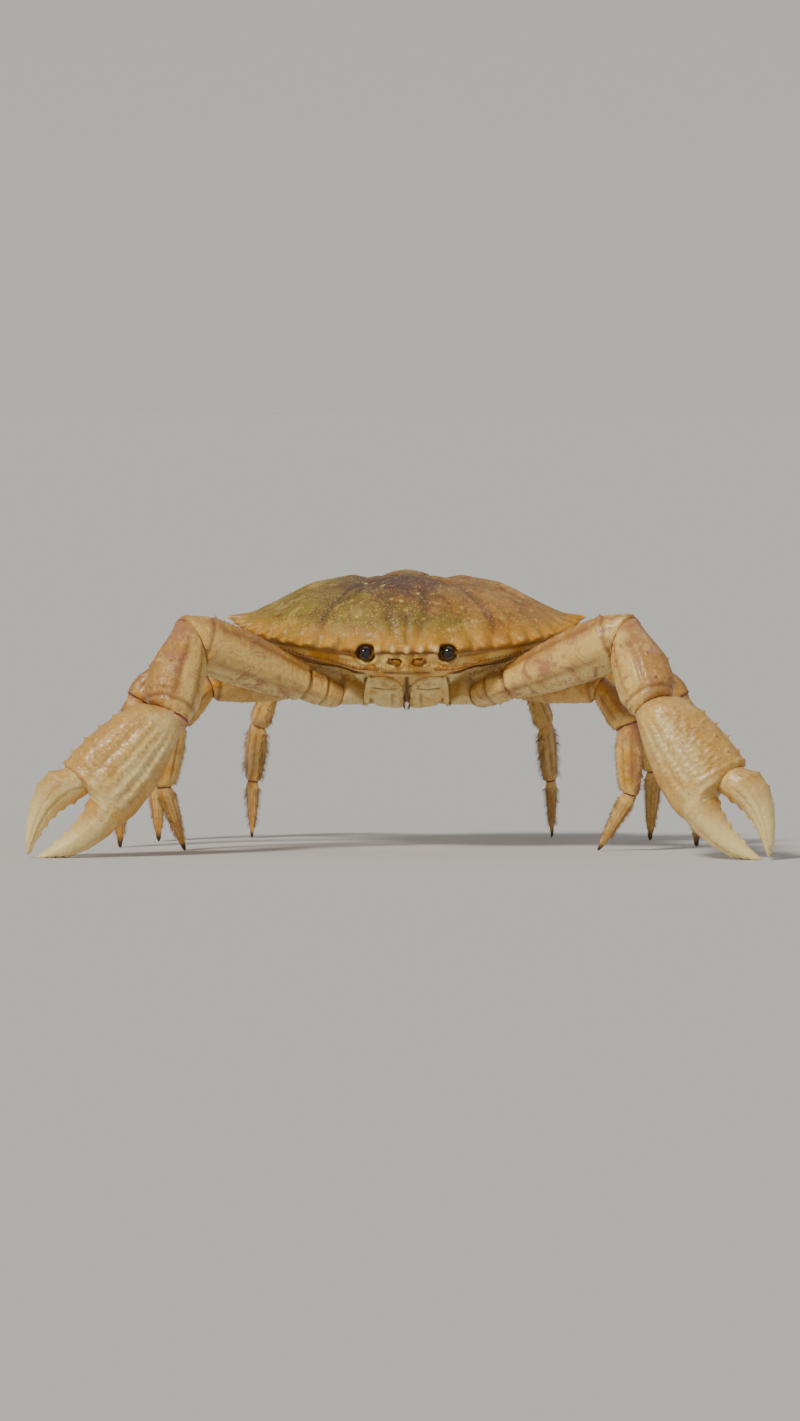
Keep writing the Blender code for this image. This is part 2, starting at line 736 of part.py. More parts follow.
def build_mouthparts(parts, materials):
    """The outer pair of jaw legs: a long lower plate, a waist, a short upper plate and a palp."""
    place, normal, upward = mouth_frame()
    outline = (
        (-0.50, 0.05, 0.46),
        (-0.44, 0.03, 0.78),
        (-0.10, 0.03, 0.94),
        (0.12, 0.03, 0.90),
        (0.17, 0.06, 0.86),
        (0.24, 0.03, 0.98),
        (0.44, 0.04, 0.92),
        (0.50, 0.16, 0.74),
    )
    for side, sign in (("left", 1), ("right", -1)):
        rings = []
        for rise, inner, outer in outline:
            middle = place + upward * rise * MOUTH_HEIGHT
            low = middle + Vector((sign * inner * MOUTH_HALF_WIDTH, 0, 0))
            high = middle + Vector((sign * outer * MOUTH_HALF_WIDTH, 0, 0))
            swell = MOUTHPART_THICKNESS * (1 - 0.45 * abs(2 * rise) ** 3)
            ring = [
                low + normal * GAP,
                high + normal * GAP,
                high.lerp(low, 0.10) + normal * (GAP + 0.65 * swell),
                high.lerp(low, 0.45) + normal * (GAP + swell),
                low.lerp(high, 0.15) + normal * (GAP + 0.75 * swell),
            ]
            rings.append([BODY_FRAME @ point for point in ring])
        loft(f"{side}_maxilliped", rings, parts, materials["underside"])


def belly_profile():
    """Points of the body's midline from under the rear rim round to the tail's tip, and normals."""
    rear_rim, tooth = rim_half()[-1]
    steps = 6
    points = []
    for step in range(steps):
        level = -0.24 - 0.42 * step / (steps - 1)
        points.append(shell_point(rear_rim, tooth, level))
    flat_z = -0.97 * BELLY_DEPTH
    start = points[-1].y
    for step in range(1, PLEON_JOINTS):
        y = start + (PLEON_TIP_Y - start) * step / (PLEON_JOINTS - 1)
        points.append(Vector((0, y, flat_z)))
    return points


def build_pleon(parts, materials):
    """The narrow tail that folds under the body, a plate that follows the belly's midline."""
    points = belly_profile()
    last = len(points) - 1
    rings = []
    for index, point in enumerate(points):
        before, after = points[max(index - 1, 0)], points[min(index + 1, last)]
        along = (after - before).normalized()
        outward = Vector((1, 0, 0)).cross(along)
        outward *= 1 if outward.dot(point - Vector((0, 0, -0.5 * BELLY_DEPTH))) > 0 else -1
        share = index / last
        width = PLEON_REAR_HALF_WIDTH + (PLEON_TIP_HALF_WIDTH - PLEON_REAR_HALF_WIDTH) * share
        width *= 0.93 if index % 2 else 1.0
        base = point + outward * (GAP + 0.0004)
        thick = PLEON_THICKNESS * (0.85 if index % 2 else 1.0)
        ring = []
        for across, rise in ((-1, 0), (1, 0), (0.94, 0.6), (0.45, 1), (-0.45, 1), (-0.94, 0.6)):
            ring.append(base + Vector((across * width, 0, 0)) + outward * rise * thick)
        rings.append([BODY_FRAME @ place for place in ring])
    return loft("pleon", rings, parts, materials["underside"])


# Limbs

def leg_points(root, out, size, bends):
    """Joints of a walking leg from its coxa to its toe on the floor, with its dorsal directions."""
    lengths = [length * size for length in LEG_LENGTHS]

    def slopes(first):
        angles = [first]
        for bend in bends:
            angles.append(angles[-1] - math.radians(bend))
        return angles

    low, high = math.radians(-70), math.radians(60)
    for _ in range(40):
        middle = (low + high) / 2
        drop = sum(length * math.sin(angle) for length, angle in zip(lengths, slopes(middle)))
        if root.z + drop > 0:
            high = middle
        else:
            low = middle
    points, ups = [root], []
    for length, angle in zip(lengths, slopes(low)):
        along = out * math.cos(angle) + Vector((0, 0, math.sin(angle)))
        ups.append(Vector((0, 0, math.cos(angle))) - out * math.sin(angle))
        points.append(points[-1] + along * length)
    return points, ups


def limb_planes(points, coxa_out):
    """The joint planes of a limb, from the coxa's end to the floor."""
    before = points[0] - coxa_out * 0.01
    planes = [joint_plane(points[0], before, points[1])]
    for first, joint, after in zip(points, points[1:], points[2:]):
        planes.append(joint_plane(joint, first, after))
    return planes


def scaled(profile, size, flatten=1.0):
    """A walking-leg profile in metres."""
    height = LEG_HEIGHT * size
    thickness = LEG_THICKNESS * size * flatten
    return [(share, high * height, thick * thickness, 0.0) for share, high, thick in profile]


def build_leg(name, points, ups, planes, size, last_leg, parts, materials):
    profiles = (MERUS_PROFILE, CARPUS_PROFILE, PROPODUS_PROFILE, DACTYL_PROFILE)
    labels = ("merus", "carpus", "propodus", "dactyl")
    for index, (label, profile) in enumerate(zip(labels, profiles)):
        broad = last_leg and label in ("propodus", "dactyl")
        shape = scaled(profile, size, LAST_LEG_FLATTENING if broad else 1.0)
        if broad:
            shape = [(share, high * 1.30, thick, rise) for share, high, thick, rise in shape]
        end_plane = planes[index + 1] if index < 3 else FLOOR
        rings = limb_rings(
            points[index],
            points[index + 1],
            ups[index],
            shape,
            LEG_SIDES,
            planes[index],
            end_plane,
            keel=0.22,
        )
        finish = materials["toe" if label == "dactyl" else "leg"]
        loft(f"{name}_{label}", rings, parts, finish)


def claw_points(index, root):
    """Joints of a claw: coxa, elbow, wrist and tip."""
    elbow, wrist = CLAW_ELBOWS[index], CLAW_WRISTS[index]
    drop = -wrist.z / CLAW_LENGTH
    level = math.sqrt(1 - drop * drop)
    heading = CLAW_HEADINGS[index].normalized() * level + Vector((0, 0, drop))
    return [root, elbow, wrist, wrist + heading * CLAW_LENGTH]


def spine_row(name, start, end, up, profile, shares, lean, spare, size, blunt=False):
    """Spines along a limb's back, each rooted in the surface that the profile gives."""
    along = (end - start).normalized()
    up = (up - along * up.dot(along)).normalized()
    side = along.cross(up)
    made = []
    for count, share in enumerate(shares):
        for (s0, h0, t0, r0), (s1, h1, t1, r1) in zip(profile, profile[1:]):
            if s0 <= share <= s1:
                part = (share - s0) / (s1 - s0)
                height = h0 + (h1 - h0) * part
                thick = t0 + (t1 - t0) * part
                rise = r0 + (r1 - r0) * part
        outward = (up * math.cos(lean) + side * math.sin(lean)).normalized()
        root = start.lerp(end, share) + up * rise
        root += up * height * math.cos(lean) + side * thick * math.sin(lean)
        direction = (outward + along * (0.0 if blunt else 0.35)).normalized()
        root -= outward * SPINE_SUNK
        made.append(spine(f"{name}_{count}", root, direction, spare, size, blunt))
    return made


def build_claw(side, index, points, planes, parts, spare, materials):
    """The claw's arm, carpus, palm with its fixed finger, and hinged finger."""
    root, elbow, wrist, tip = points
    back = CLAW_BACKS[index]
    skin = materials["claw"]
    name = f"{side}_claw"

    rings = limb_rings(
        root, elbow, ARM_BACK, CLAW_ARM_PROFILE, CLAW_SIDES, planes[0], planes[1], keel=0.15
    )
    arm = loft(f"{name}_arm", rings, parts, skin)
    join_pieces(
        arm,
        spine_row("arm", root, elbow, ARM_BACK, CLAW_ARM_PROFILE, ARM_SPINES, 0.0, spare, 1.0),
    )

    outer = Vector((1 if side == "left" else -1, -0.25, 0.60))
    profile = CLAW_CARPUS_PROFILE
    rings = limb_rings(elbow, wrist, outer, profile, CLAW_SIDES, planes[1], planes[2])
    carpus = loft(f"{name}_carpus", rings, parts, skin)
    spines = []
    for lean in CARPUS_LEANS:
        row = f"carpus_{lean}"
        spines += spine_row(row, elbow, wrist, outer, profile, CARPUS_SPINES, lean, spare, 0.95)
    join_pieces(carpus, spines)

    rings = limb_rings(
        wrist, tip, back, PALM_PROFILE, CLAW_SIDES, planes[2], FLOOR, keel=0.10
    )
    palm = loft(f"{name}_palm", rings, parts, skin)
    body = PALM_PROFILE[:6]
    spines = spine_row("palm", wrist, tip, back, body, PALM_SPINES, 0.0, spare, 1.1)
    for lean in PALM_LEANS:
        row = f"palm_{lean}"
        spines += spine_row(row, wrist, tip, back, body, PALM_SIDE_SPINES, lean, spare, 0.8)
    spines += spine_row(
        "bite", wrist, tip, back, PALM_PROFILE, BITE_SHARES, 0.0, spare, 1.0, blunt=True
    )
    join_pieces(palm, spines)

    along = (tip - wrist).normalized()
    first, last = FINGER_PROFILE[0][0], FINGER_PROFILE[-1][0]
    hinge, end = wrist.lerp(tip, first), wrist.lerp(tip, last)
    shape = [((s - first) / (last - first), h, t, r) for s, h, t, r in FINGER_PROFILE]
    rings = limb_rings(
        hinge, end, back, shape, CLAW_SIDES, (hinge, along), (end, along), keel=0.10
    )
    finger = loft(f"{name}_finger", rings, parts, skin)
    spines = spine_row("finger", hinge, end, back, shape, FINGER_SPINES, 0.0, spare, 0.8)
    below = [(share, height, thick, -rise) for share, height, thick, rise in shape]
    spines += spine_row(
        "finger_bite", hinge, end, -back, below, FINGER_BITE_SHARES, 0.0, spare, 1.0, blunt=True
    )
    join_pieces(finger, spines)


def centre_on_floor(parts):
    """Moves the whole crab so that the middle of its outline lies over the origin."""
    bpy.context.view_layer.update()
    corners = [
        obj.matrix_world @ Vector(corner) for obj in parts.objects for corner in obj.bound_box
    ]
    middle_x = (min(c.x for c in corners) + max(c.x for c in corners)) / 2
    middle_y = (min(c.y for c in corners) + max(c.y for c in corners)) / 2
    for obj in parts.objects:
        obj.location.x -= middle_x
        obj.location.y -= middle_y


def main():
    clear_scene()
    parts = new_collection("dungeness_crab")
    spare = new_collection("cutters", hidden=True)
    materials = make_materials()

    coxae = coxa_ends()
    chains, planes = {}, {}
    for name, (root, out) in coxae.items():
        index = 0 if name.startswith("left") else 1
        if name.endswith("claw"):
            points, ups = claw_points(index, root), None
        else:
            leg = int(name[-1]) - 1
            points, ups = leg_points(root, out, LEG_SIZES[leg], LEG_BENDS[leg][index])
        chains[name] = (points, ups)
        planes[name] = limb_planes(points, out)

    first_planes = {name: limb[0] for name, limb in planes.items()}
    build_body(parts, spare, materials, coxae, first_planes)
    build_eyes_and_feelers(parts, materials)
    build_mouthparts(parts, materials)
    build_pleon(parts, materials)
    for name, (points, ups) in chains.items():
        if name.endswith("claw"):
            side = name.split("_")[0]
            index = 0 if side == "left" else 1
            build_claw(side, index, points, planes[name], parts, spare, materials)
        else:
            leg = int(name[-1])
            build_leg(name, points, ups, planes[name], LEG_SIZES[leg - 1], leg == 4, parts, materials)
    centre_on_floor(parts)


main()
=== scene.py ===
# %% [markdown]
# # A Dungeness crab, dressed
#
# The frame gives the crab's solids: shell, claws and legs at their true size and place. This
# lesson turns them into a wet, living surface. Each solid is copied, its loose corners are merged,
# and it is remeshed finely enough to carve grooves, ridges and grains into it. The soft skin in
# the joints, the hair fringes and the colours are then added.

# %% Load the frame
import json
import math
import random

import bpy
import numpy as np
from mathutils import Matrix, Vector
from mathutils.kdtree import KDTree

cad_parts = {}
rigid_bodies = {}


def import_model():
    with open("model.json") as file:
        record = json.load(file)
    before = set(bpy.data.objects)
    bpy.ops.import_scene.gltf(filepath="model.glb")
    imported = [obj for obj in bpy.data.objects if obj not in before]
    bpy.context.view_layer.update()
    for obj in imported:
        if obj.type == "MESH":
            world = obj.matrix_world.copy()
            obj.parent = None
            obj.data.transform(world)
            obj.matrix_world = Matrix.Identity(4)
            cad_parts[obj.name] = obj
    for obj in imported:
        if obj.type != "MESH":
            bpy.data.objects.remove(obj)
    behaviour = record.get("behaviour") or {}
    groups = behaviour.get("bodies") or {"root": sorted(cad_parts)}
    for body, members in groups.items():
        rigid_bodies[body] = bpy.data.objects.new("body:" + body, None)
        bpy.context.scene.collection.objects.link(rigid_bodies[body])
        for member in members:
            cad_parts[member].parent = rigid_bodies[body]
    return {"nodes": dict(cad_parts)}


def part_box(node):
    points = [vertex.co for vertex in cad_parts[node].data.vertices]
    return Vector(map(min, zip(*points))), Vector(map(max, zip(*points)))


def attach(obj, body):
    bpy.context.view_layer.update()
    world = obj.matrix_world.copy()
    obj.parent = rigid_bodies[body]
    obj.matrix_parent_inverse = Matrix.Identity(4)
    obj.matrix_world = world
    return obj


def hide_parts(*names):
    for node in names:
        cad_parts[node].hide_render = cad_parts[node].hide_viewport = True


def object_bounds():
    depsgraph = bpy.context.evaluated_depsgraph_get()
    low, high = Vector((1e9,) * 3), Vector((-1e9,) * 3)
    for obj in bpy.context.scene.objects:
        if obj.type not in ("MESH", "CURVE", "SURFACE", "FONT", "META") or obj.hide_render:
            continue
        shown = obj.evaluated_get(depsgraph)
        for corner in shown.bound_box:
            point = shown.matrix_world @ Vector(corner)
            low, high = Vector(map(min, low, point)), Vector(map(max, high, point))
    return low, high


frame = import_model()
cad_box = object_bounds()
random.seed(7)
print("solids:", len(frame["nodes"]), "box:", [tuple(round(c, 4) for c in v) for v in cad_box])

# %% [markdown]
# ## Camera
#
# The photo looks straight at the crab's face from about four metres away and barely above it. The
# crab is tiny there, so the same viewing angle and distance are kept and only the lens is longer.

# %% Camera
PHOTO_WIDTH, PHOTO_HEIGHT = 800, 1421
VIEW_DISTANCE = 4.2
VIEW_ABOVE = math.radians(2.0)
FILL = 0.92

low, high = cad_box
target = (low + high) / 2
camera_data = bpy.data.cameras.new("camera")
camera = bpy.data.objects.new("camera", camera_data)
bpy.context.scene.collection.objects.link(camera)
bpy.context.scene.camera = camera
camera.location = target + VIEW_DISTANCE * Vector((0, -math.cos(VIEW_ABOVE), math.sin(VIEW_ABOVE)))
camera.rotation_euler = (camera.location - target).to_track_quat("Z", "Y").to_euler()
seen_width = (high.x - low.x) / FILL
camera_data.lens = (
    camera_data.sensor_width * VIEW_DISTANCE / seen_width * PHOTO_WIDTH / PHOTO_HEIGHT
)
camera_data.clip_end = 400
print("lens:", round(camera_data.lens), "mm")

# %% [markdown]
# ## Small tools
#
# Operators act on what is selected, so each step first selects just its own piece. A remesh turns
# joined shapes into one even skin, but it can cut the tip off a thin spine, so loose scraps are
# deleted after it. Points are read and written as arrays, which makes carving a fine mesh quick.

# %% Select, copy and remesh
def pick(*objects):
    """Selects these objects and nothing else."""
    bpy.ops.object.select_all(action="DESELECT")
    for obj in objects:
        obj.select_set(True)
    bpy.context.view_layer.objects.active = objects[0]


def apply_modifiers(piece):
    pick(piece)
    for modifier in list(piece.modifiers):
        bpy.ops.object.modifier_apply(modifier=modifier.name)


def copy_of(node, name):
    """A separate copy of a solid, with its loose corners merged."""
    mesh = frame["nodes"][node].data.copy()
    mesh.materials.clear()
    piece = bpy.data.objects.new(name, mesh)
    bpy.context.scene.collection.objects.link(piece)
    pick(piece)
    bpy.ops.object.mode_set(mode="EDIT")
    bpy.ops.mesh.select_all(action="SELECT")
    bpy.ops.mesh.remove_doubles(threshold=1e-6)
    bpy.ops.mesh.normals_make_consistent(inside=False)
    bpy.ops.object.mode_set(mode="OBJECT")
    return piece


def weld(piece, *others):
    """Joins closed shapes into a piece. A remesh then makes one skin of them."""
    pick(piece, *others)
    bpy.ops.object.join()


def choose_points(piece, chosen):
    """Goes into edit mode with just these points selected."""
    pick(piece)
    bpy.ops.object.mode_set(mode="EDIT")
    bpy.ops.mesh.select_mode(type="VERT")
    bpy.ops.mesh.select_all(action="DESELECT")
    bpy.ops.object.mode_set(mode="OBJECT")
    piece.data.vertices.foreach_set("select", chosen)
    bpy.ops.object.mode_set(mode="EDIT")


def drop_scraps(piece):
    """Deletes what a remesh has cut off, such as the tip of a thin spine."""
    corners = np.array([vertex.co for vertex in piece.data.vertices])
    from_middle = np.linalg.norm(corners - corners.mean(axis=0), axis=1)
    choose_points(piece, np.arange(len(corners)) == from_middle.argmin())
    bpy.ops.mesh.select_linked()
    bpy.ops.mesh.select_all(action="INVERT")
    bpy.ops.mesh.delete(type="VERT")
    bpy.ops.object.mode_set(mode="OBJECT")


def remesh(piece, voxel, smoothing):
    """Turns a piece into an even, fine mesh and softens its edges."""
    grid = piece.modifiers.new("grid", "REMESH")
    grid.mode = "VOXEL"
    grid.voxel_size = voxel
    soften = piece.modifiers.new("soften", "SMOOTH")
    soften.factor = 0.5
    soften.iterations = smoothing
    apply_modifiers(piece)
    drop_scraps(piece)
    piece.data.shade_smooth()
    return piece


def ball(name, centre, size, axes=None, segments=24):
    """An ellipsoid with these half widths along its axes."""
    bpy.ops.object.select_all(action="DESELECT")
    bpy.ops.mesh.primitive_uv_sphere_add(segments=segments, ring_count=segments // 2, radius=1)
    piece = bpy.context.object
    piece.name = name
    turn = Matrix.Identity(3) if axes is None else Matrix(axes).transposed()
    size = Matrix.Diagonal((*size, 1))
    piece.data.transform(Matrix.Translation(centre) @ turn.to_4x4() @ size)
    return piece


def bead(name, start, end, radius, flatten=1.0, flat_way=None):
    """An egg that reaches from start to end. It can be thinner one way."""
    along = (end - start).normalized()
    thin = flat_way if flat_way is not None else along.orthogonal()
    thin = (thin - along * thin.dot(along)).normalized()
    reach = (end - start).length / 2
    axes = (thin.cross(along), thin, along)
    return ball(name, (start + end) / 2, (radius, radius * flatten, reach), axes, 20)


# %% Read, move and mark points
def points(piece):
    flat = np.empty(len(piece.data.vertices) * 3)
    piece.data.vertices.foreach_get("co", flat)
    return flat.reshape(-1, 3)


def normals(piece):
    flat = np.empty(len(piece.data.vertices) * 3)
    piece.data.vertex_normals.foreach_get("vector", flat)
    return flat.reshape(-1, 3)


def set_points(piece, places):
    piece.data.vertices.foreach_set("co", np.asarray(places).ravel())
    piece.data.update()


def push(piece, amounts):
    """Moves every point along its normal."""
    set_points(piece, points(piece) + normals(piece) * np.asarray(amounts)[:, None])


def note(piece, name, values):
    """Stores one number at each point, for the materials to read."""
    layer = piece.data.attributes.new(name, "FLOAT", "POINT")
    layer.data.foreach_set("value", np.asarray(values, dtype=np.float32))


def smooth_step(values, low_edge, high_edge):
    share = np.clip((values - low_edge) / (high_edge - low_edge), 0, 1)
    return share * share * (3 - 2 * share)


def bell(values, centre, width):
    return np.exp(-(((values - centre) / width) ** 2))


def grain(piece, size, depth, kind="VORONOI", group=""):
    """Raises small grains all over a piece, or only in a vertex group."""
    texture = bpy.data.textures.new(f"{piece.name}_{kind}", kind)
    texture.noise_scale = size
    if kind == "CLOUDS":
        texture.noise_depth = 3
    raised = piece.modifiers.new("grain", "DISPLACE")
    raised.texture = texture
    raised.texture_coords = "LOCAL"
    raised.strength = depth
    raised.mid_level = 0.5
    raised.vertex_group = group
    apply_modifiers(piece)


def group_from(piece, name, values):
    """A vertex group whose weights are these values in 20 steps."""
    group = piece.vertex_groups.new(name=name)
    steps = np.round(np.clip(values, 0, 1) * 20).astype(int)
    for step in range(1, 21):
        members = np.flatnonzero(steps == step).tolist()
        if members:
            group.add(members, step / 20, "REPLACE")


made = []


def place(piece, finish, record_slot, *nodes):
    """Gives a finished piece its material and its body, and hides the solids that it stands for."""
    piece.data.materials.clear()
    piece.data.materials.append(finish)
    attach(piece, "root")
    if nodes:
        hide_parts(*nodes)
    made.append(piece)
    return piece


# %% [markdown]
# ## Finishes
#
# A wet crab shell has three layers: a mottled colour, fine speckles where each grain catches the
# light, and a thin clear film. Small helpers join the shader nodes, so each finish reads as a
# short recipe.

# %% Shader helpers
class Recipe:
    """One material: its node tree and the pieces that recipes are made of."""

    def __init__(self, name):
        self.material = bpy.data.materials.new(name)
        self.material.use_nodes = True
        self.tree = self.material.node_tree
        self.shader = self.tree.nodes["Principled BSDF"]
        self.place = self.tree.nodes.new("ShaderNodeTexCoord").outputs["Object"]

    def noise(self, size, detail=5.0, rough=0.6, warp=0.0):
        node = self.tree.nodes.new("ShaderNodeTexNoise")
        node.inputs["Scale"].default_value = 1 / size
        node.inputs["Detail"].default_value = detail
        node.inputs["Roughness"].default_value = rough
        node.inputs["Distortion"].default_value = warp
        self.tree.links.new(self.place, node.inputs["Vector"])
        return node.outputs["Fac"]

    def cells(self, size):
        node = self.tree.nodes.new("ShaderNodeTexVoronoi")
        node.inputs["Scale"].default_value = 1 / size
        self.tree.links.new(self.place, node.inputs["Vector"])
        return node.outputs["Distance"]

    def measure(self, name):
        node = self.tree.nodes.new("ShaderNodeAttribute")
        node.attribute_name = name
        return node.outputs["Fac"]

    def steps(self, factor, start, end, from_value=0.0, to_value=1.0):
        node = self.tree.nodes.new("ShaderNodeMapRange")
        node.interpolation_type = "SMOOTHSTEP"
        for name, value in zip(
            ("From Min", "From Max", "To Min", "To Max"), (start, end, from_value, to_value)
        ):
            node.inputs[name].default_value = value
        self.tree.links.new(factor, node.inputs["Value"])
        return node.outputs["Result"]

    def maths(self, operation, first, second):
        node = self.tree.nodes.new("ShaderNodeMath")
        node.operation = operation
        for socket, value in zip(node.inputs, (first, second)):
            if isinstance(value, float):
                socket.default_value = value
            else:
                self.tree.links.new(value, socket)
        return node.outputs["Value"]

    def mix(self, factor, first, second, strength=1.0):
        """First colour, with as much of the second as the factor says."""
        if strength != 1.0:
            factor = self.maths("MULTIPLY", factor, strength)
        node = self.tree.nodes.new("ShaderNodeMix")
        node.data_type = "RGBA"
        for socket, value in zip(
            (node.inputs[0], node.inputs[6], node.inputs[7]), (factor, first, second)
        ):
            if isinstance(value, tuple):
                socket.default_value = (*value, 1)
            else:
                self.tree.links.new(value, socket)
        return node.outputs[2]

    def patches(self, base, *kinds):
        """Patches over a colour: a noise, the levels where they fade in, colour and strength."""
        for noise, start, end, colour, strength in kinds:
            base = self.mix(self.steps(self.noise(*noise), start, end), base, colour, strength)
        return base

    def finish(self, colour, rough, relief=(), coat=0.0, subsurface=0.0):
        """Links the colour, and bumps from (height, depth in metres) pairs."""
        self.tree.links.new(colour, self.shader.inputs["Base Color"])
        if isinstance(rough, float):
            self.shader.inputs["Roughness"].default_value = rough
        else:
            self.tree.links.new(rough, self.shader.inputs["Roughness"])
        for name, value in (
            ("Coat Weight", coat),
            ("Coat Roughness", 0.20),
            ("Specular IOR Level", 0.38),
            ("Subsurface Weight", subsurface),
            ("Subsurface Scale", 0.002),
            ("Subsurface Radius", (1.0, 0.5, 0.25)),
        ):
            self.shader.inputs[name].default_value = value
        normal = None
        for height, depth in relief:
            bump = self.tree.nodes.new("ShaderNodeBump")
            bump.inputs["Distance"].default_value = depth
            bump.inputs["Strength"].default_value = 1.0
            self.tree.links.new(height, bump.inputs["Height"])
            if normal is not None:
                self.tree.links.new(normal, bump.inputs["Normal"])
            normal = bump.outputs["Normal"]
        if normal is not None:
            self.tree.links.new(normal, self.shader.inputs["Normal"])
        return self.material


# %% Colours
TAN = (0.440, 0.200, 0.032)
OLIVE = (0.275, 0.198, 0.026)
PURPLE_BROWN = (0.050, 0.014, 0.019)
CREAM = (0.800, 0.540, 0.165)
PALE = (0.860, 0.675, 0.295)
GOLD = (0.620, 0.290, 0.028)
RUST = (0.190, 0.054, 0.011)
PINK = (0.400, 0.150, 0.085)
BLUSH = (0.430, 0.180, 0.100)
HORN = (0.060, 0.026, 0.012)
ARM_BACK = (0.460, 0.235, 0.062)
CLAW_BACK = (0.570, 0.330, 0.082)
LEG_BACK = (0.400, 0.185, 0.066)
EYE_BLACK = (0.010, 0.008, 0.007)
DARK_SKIN, PALE_SKIN = (0.150, 0.036, 0.024), (0.320, 0.115, 0.055)
SKIN_FOLDS = ((0.0012, 0.0002),)
FEELER_RED = (0.320, 0.090, 0.030)
DARK_HAIR, PALE_HAIR = (0.150, 0.068, 0.024), (0.400, 0.230, 0.080)


def shell_relief(r):
    """Fine grains and still finer pits, for every hard surface."""
    return ((r.cells(0.0009), -0.00012), (r.noise(0.00040, 3), 0.00004))


def carapace_finish():
    """Olive to tan on top with a purple brown smudge, gold along the rim, cream below."""
    r = Recipe("wet_shell_top")
    one_side = r.maths("MULTIPLY", r.measure("olive"), 0.16)
    greener = r.maths("ADD", r.noise(0.030, 5, 0.65, 0.5), one_side)
    base = r.mix(r.steps(greener, 0.44, 0.66), TAN, OLIVE)
    base = r.patches(
        base,
        ((0.008, 7, 0.80, 0.8), 0.46, 0.62, RUST, 0.66),
        ((0.013, 6, 0.75, 0.3), 0.52, 0.66, CREAM, 0.45),
    )
    mottle = r.maths("MULTIPLY", r.noise(0.0070, 7, 0.80, 0.7), 0.8)
    mottle = r.maths("ADD", mottle, r.maths("MULTIPLY", r.noise(0.026, 5, 0.65), 0.9))
    smudge = r.maths("ADD", r.maths("MULTIPLY", r.measure("crown"), 0.50), mottle)
    base = r.mix(r.steps(smudge, 0.95, 1.40), base, PURPLE_BROWN, 0.80)
    # Painted shade: the furrows and the groove along the rear edge are darkened with purple brown.
    base = r.mix(r.steps(r.measure("hollow_shade"), 0.05, 1.0), base, PURPLE_BROWN, 0.50)
    rim = r.maths("MULTIPLY", r.measure("rim"), r.steps(r.noise(0.008, 5), 0.30, 0.56, 0.35, 1.0))
    base = r.mix(rim, base, GOLD, 0.85)
    base = r.mix(r.measure("tip"), base, PALE)
    spots = r.steps(r.cells(0.0058), 0.10, 0.24, 1.0, 0.0)
    spots = r.maths("MULTIPLY", spots, r.steps(r.noise(0.016, 3), 0.44, 0.60))
    base = r.mix(spots, base, CREAM, 0.62)
    # Painted highlights: fine cream specks where the grains would catch the light.
    grain_highlight = r.steps(r.cells(0.0014), 0.05, 0.42, 1.0, 0.0)
    grain_highlight = r.maths("MULTIPLY", grain_highlight, r.steps(r.noise(0.006, 3), 0.32, 0.60))
    base = r.mix(grain_highlight, base, CREAM, 0.62)
    cream = r.mix(r.steps(r.noise(0.012, 5), 0.42, 0.62), CREAM, GOLD)
    cream = r.mix(r.steps(r.noise(0.0032, 6, 0.75), 0.50, 0.68), cream, RUST, 0.50)
    base = r.mix(r.measure("under"), base, cream)
    # Painted shade: the face's grooves, the feeler pits, the notches between the front teeth and a
    # shadow line under the teeth are darkened with rust.
    base = r.mix(r.measure("crease"), base, RUST, 0.85)
    # Painted shade: the walls of the eye sockets are darkened with rust.
    base = r.mix(r.measure("socket"), base, RUST, 0.62)
    rough = r.steps(r.noise(0.004, 4), 0.3, 0.7, 0.40, 0.58)
    return r.finish(base, rough, shell_relief(r), coat=0.07, subsurface=0.04)


def limb_finish(name, back, side, belly, tip, tip_start, tip_end, wet=0.20, pink=0.58):
    """A limb's back, flanks and belly, its pinkish patches, and the colour its tip fades to."""
    r = Recipe(name)
    height = r.maths("ADD", r.measure("height"), r.maths("MULTIPLY", r.noise(0.009, 5, 0.65), 1.1))
    flank = r.mix(r.steps(r.noise(0.015, 4, 0.6, 0.3), 0.40, 0.62), side, CREAM)
    base = r.mix(r.steps(height, 0.70, 1.25), flank, back)
    base = r.mix(r.steps(height, 0.20, -0.40), base, belly, 0.85)
    base = r.patches(
        base,
        ((0.0075, 7, 0.78, 0.9), 0.49, 0.60, GOLD, 0.50),
        ((0.0022, 5, 0.75), 0.55, 0.68, RUST, 0.50),
        ((0.013, 6, 0.75, 0.6), 0.55, 0.70, RUST, 0.28),
        ((0.012, 6, 0.70, 0.9), 0.49, 0.63, BLUSH, pink),
        ((0.0055, 7, 0.80, 0.6), 0.50, 0.62, CREAM, 0.55),
    )
    # Painted highlights: pale specks where the grains would catch the light.
    grains = r.steps(r.cells(0.0012), 0.05, 0.40, 1.0, 0.0)
    base = r.mix(grains, base, PALE, 0.20)
    along = r.maths("ADD", r.measure("along"), r.maths("MULTIPLY", r.noise(0.005, 4), 0.10))
    base = r.mix(r.steps(along, tip_start, tip_end), base, tip)
    base = r.mix(r.steps(r.measure("along"), 0.05, -0.03), base, PINK, 0.55)
    # Painted shade: the grooves and rings of each segment are darkened with rust.
    base = r.mix(r.measure("hollow_shade"), base, RUST, 0.60)
    rough = r.steps(r.noise(0.004, 4), 0.3, 0.7, 0.32, 0.48)
    return r.finish(base, rough, shell_relief(r), coat=wet, subsurface=0.05)


def plain_finish(name, first, second, size, rough, coat=0.0, relief=(), subsurface=0.05):
    r = Recipe(name)
    base = r.mix(r.steps(r.noise(size, 5, 0.65, 0.3), 0.36, 0.68), first, second)
    layers = [(r.noise(width, 4), depth) for width, depth in relief]
    return r.finish(base, rough, layers, coat=coat, subsurface=subsurface)


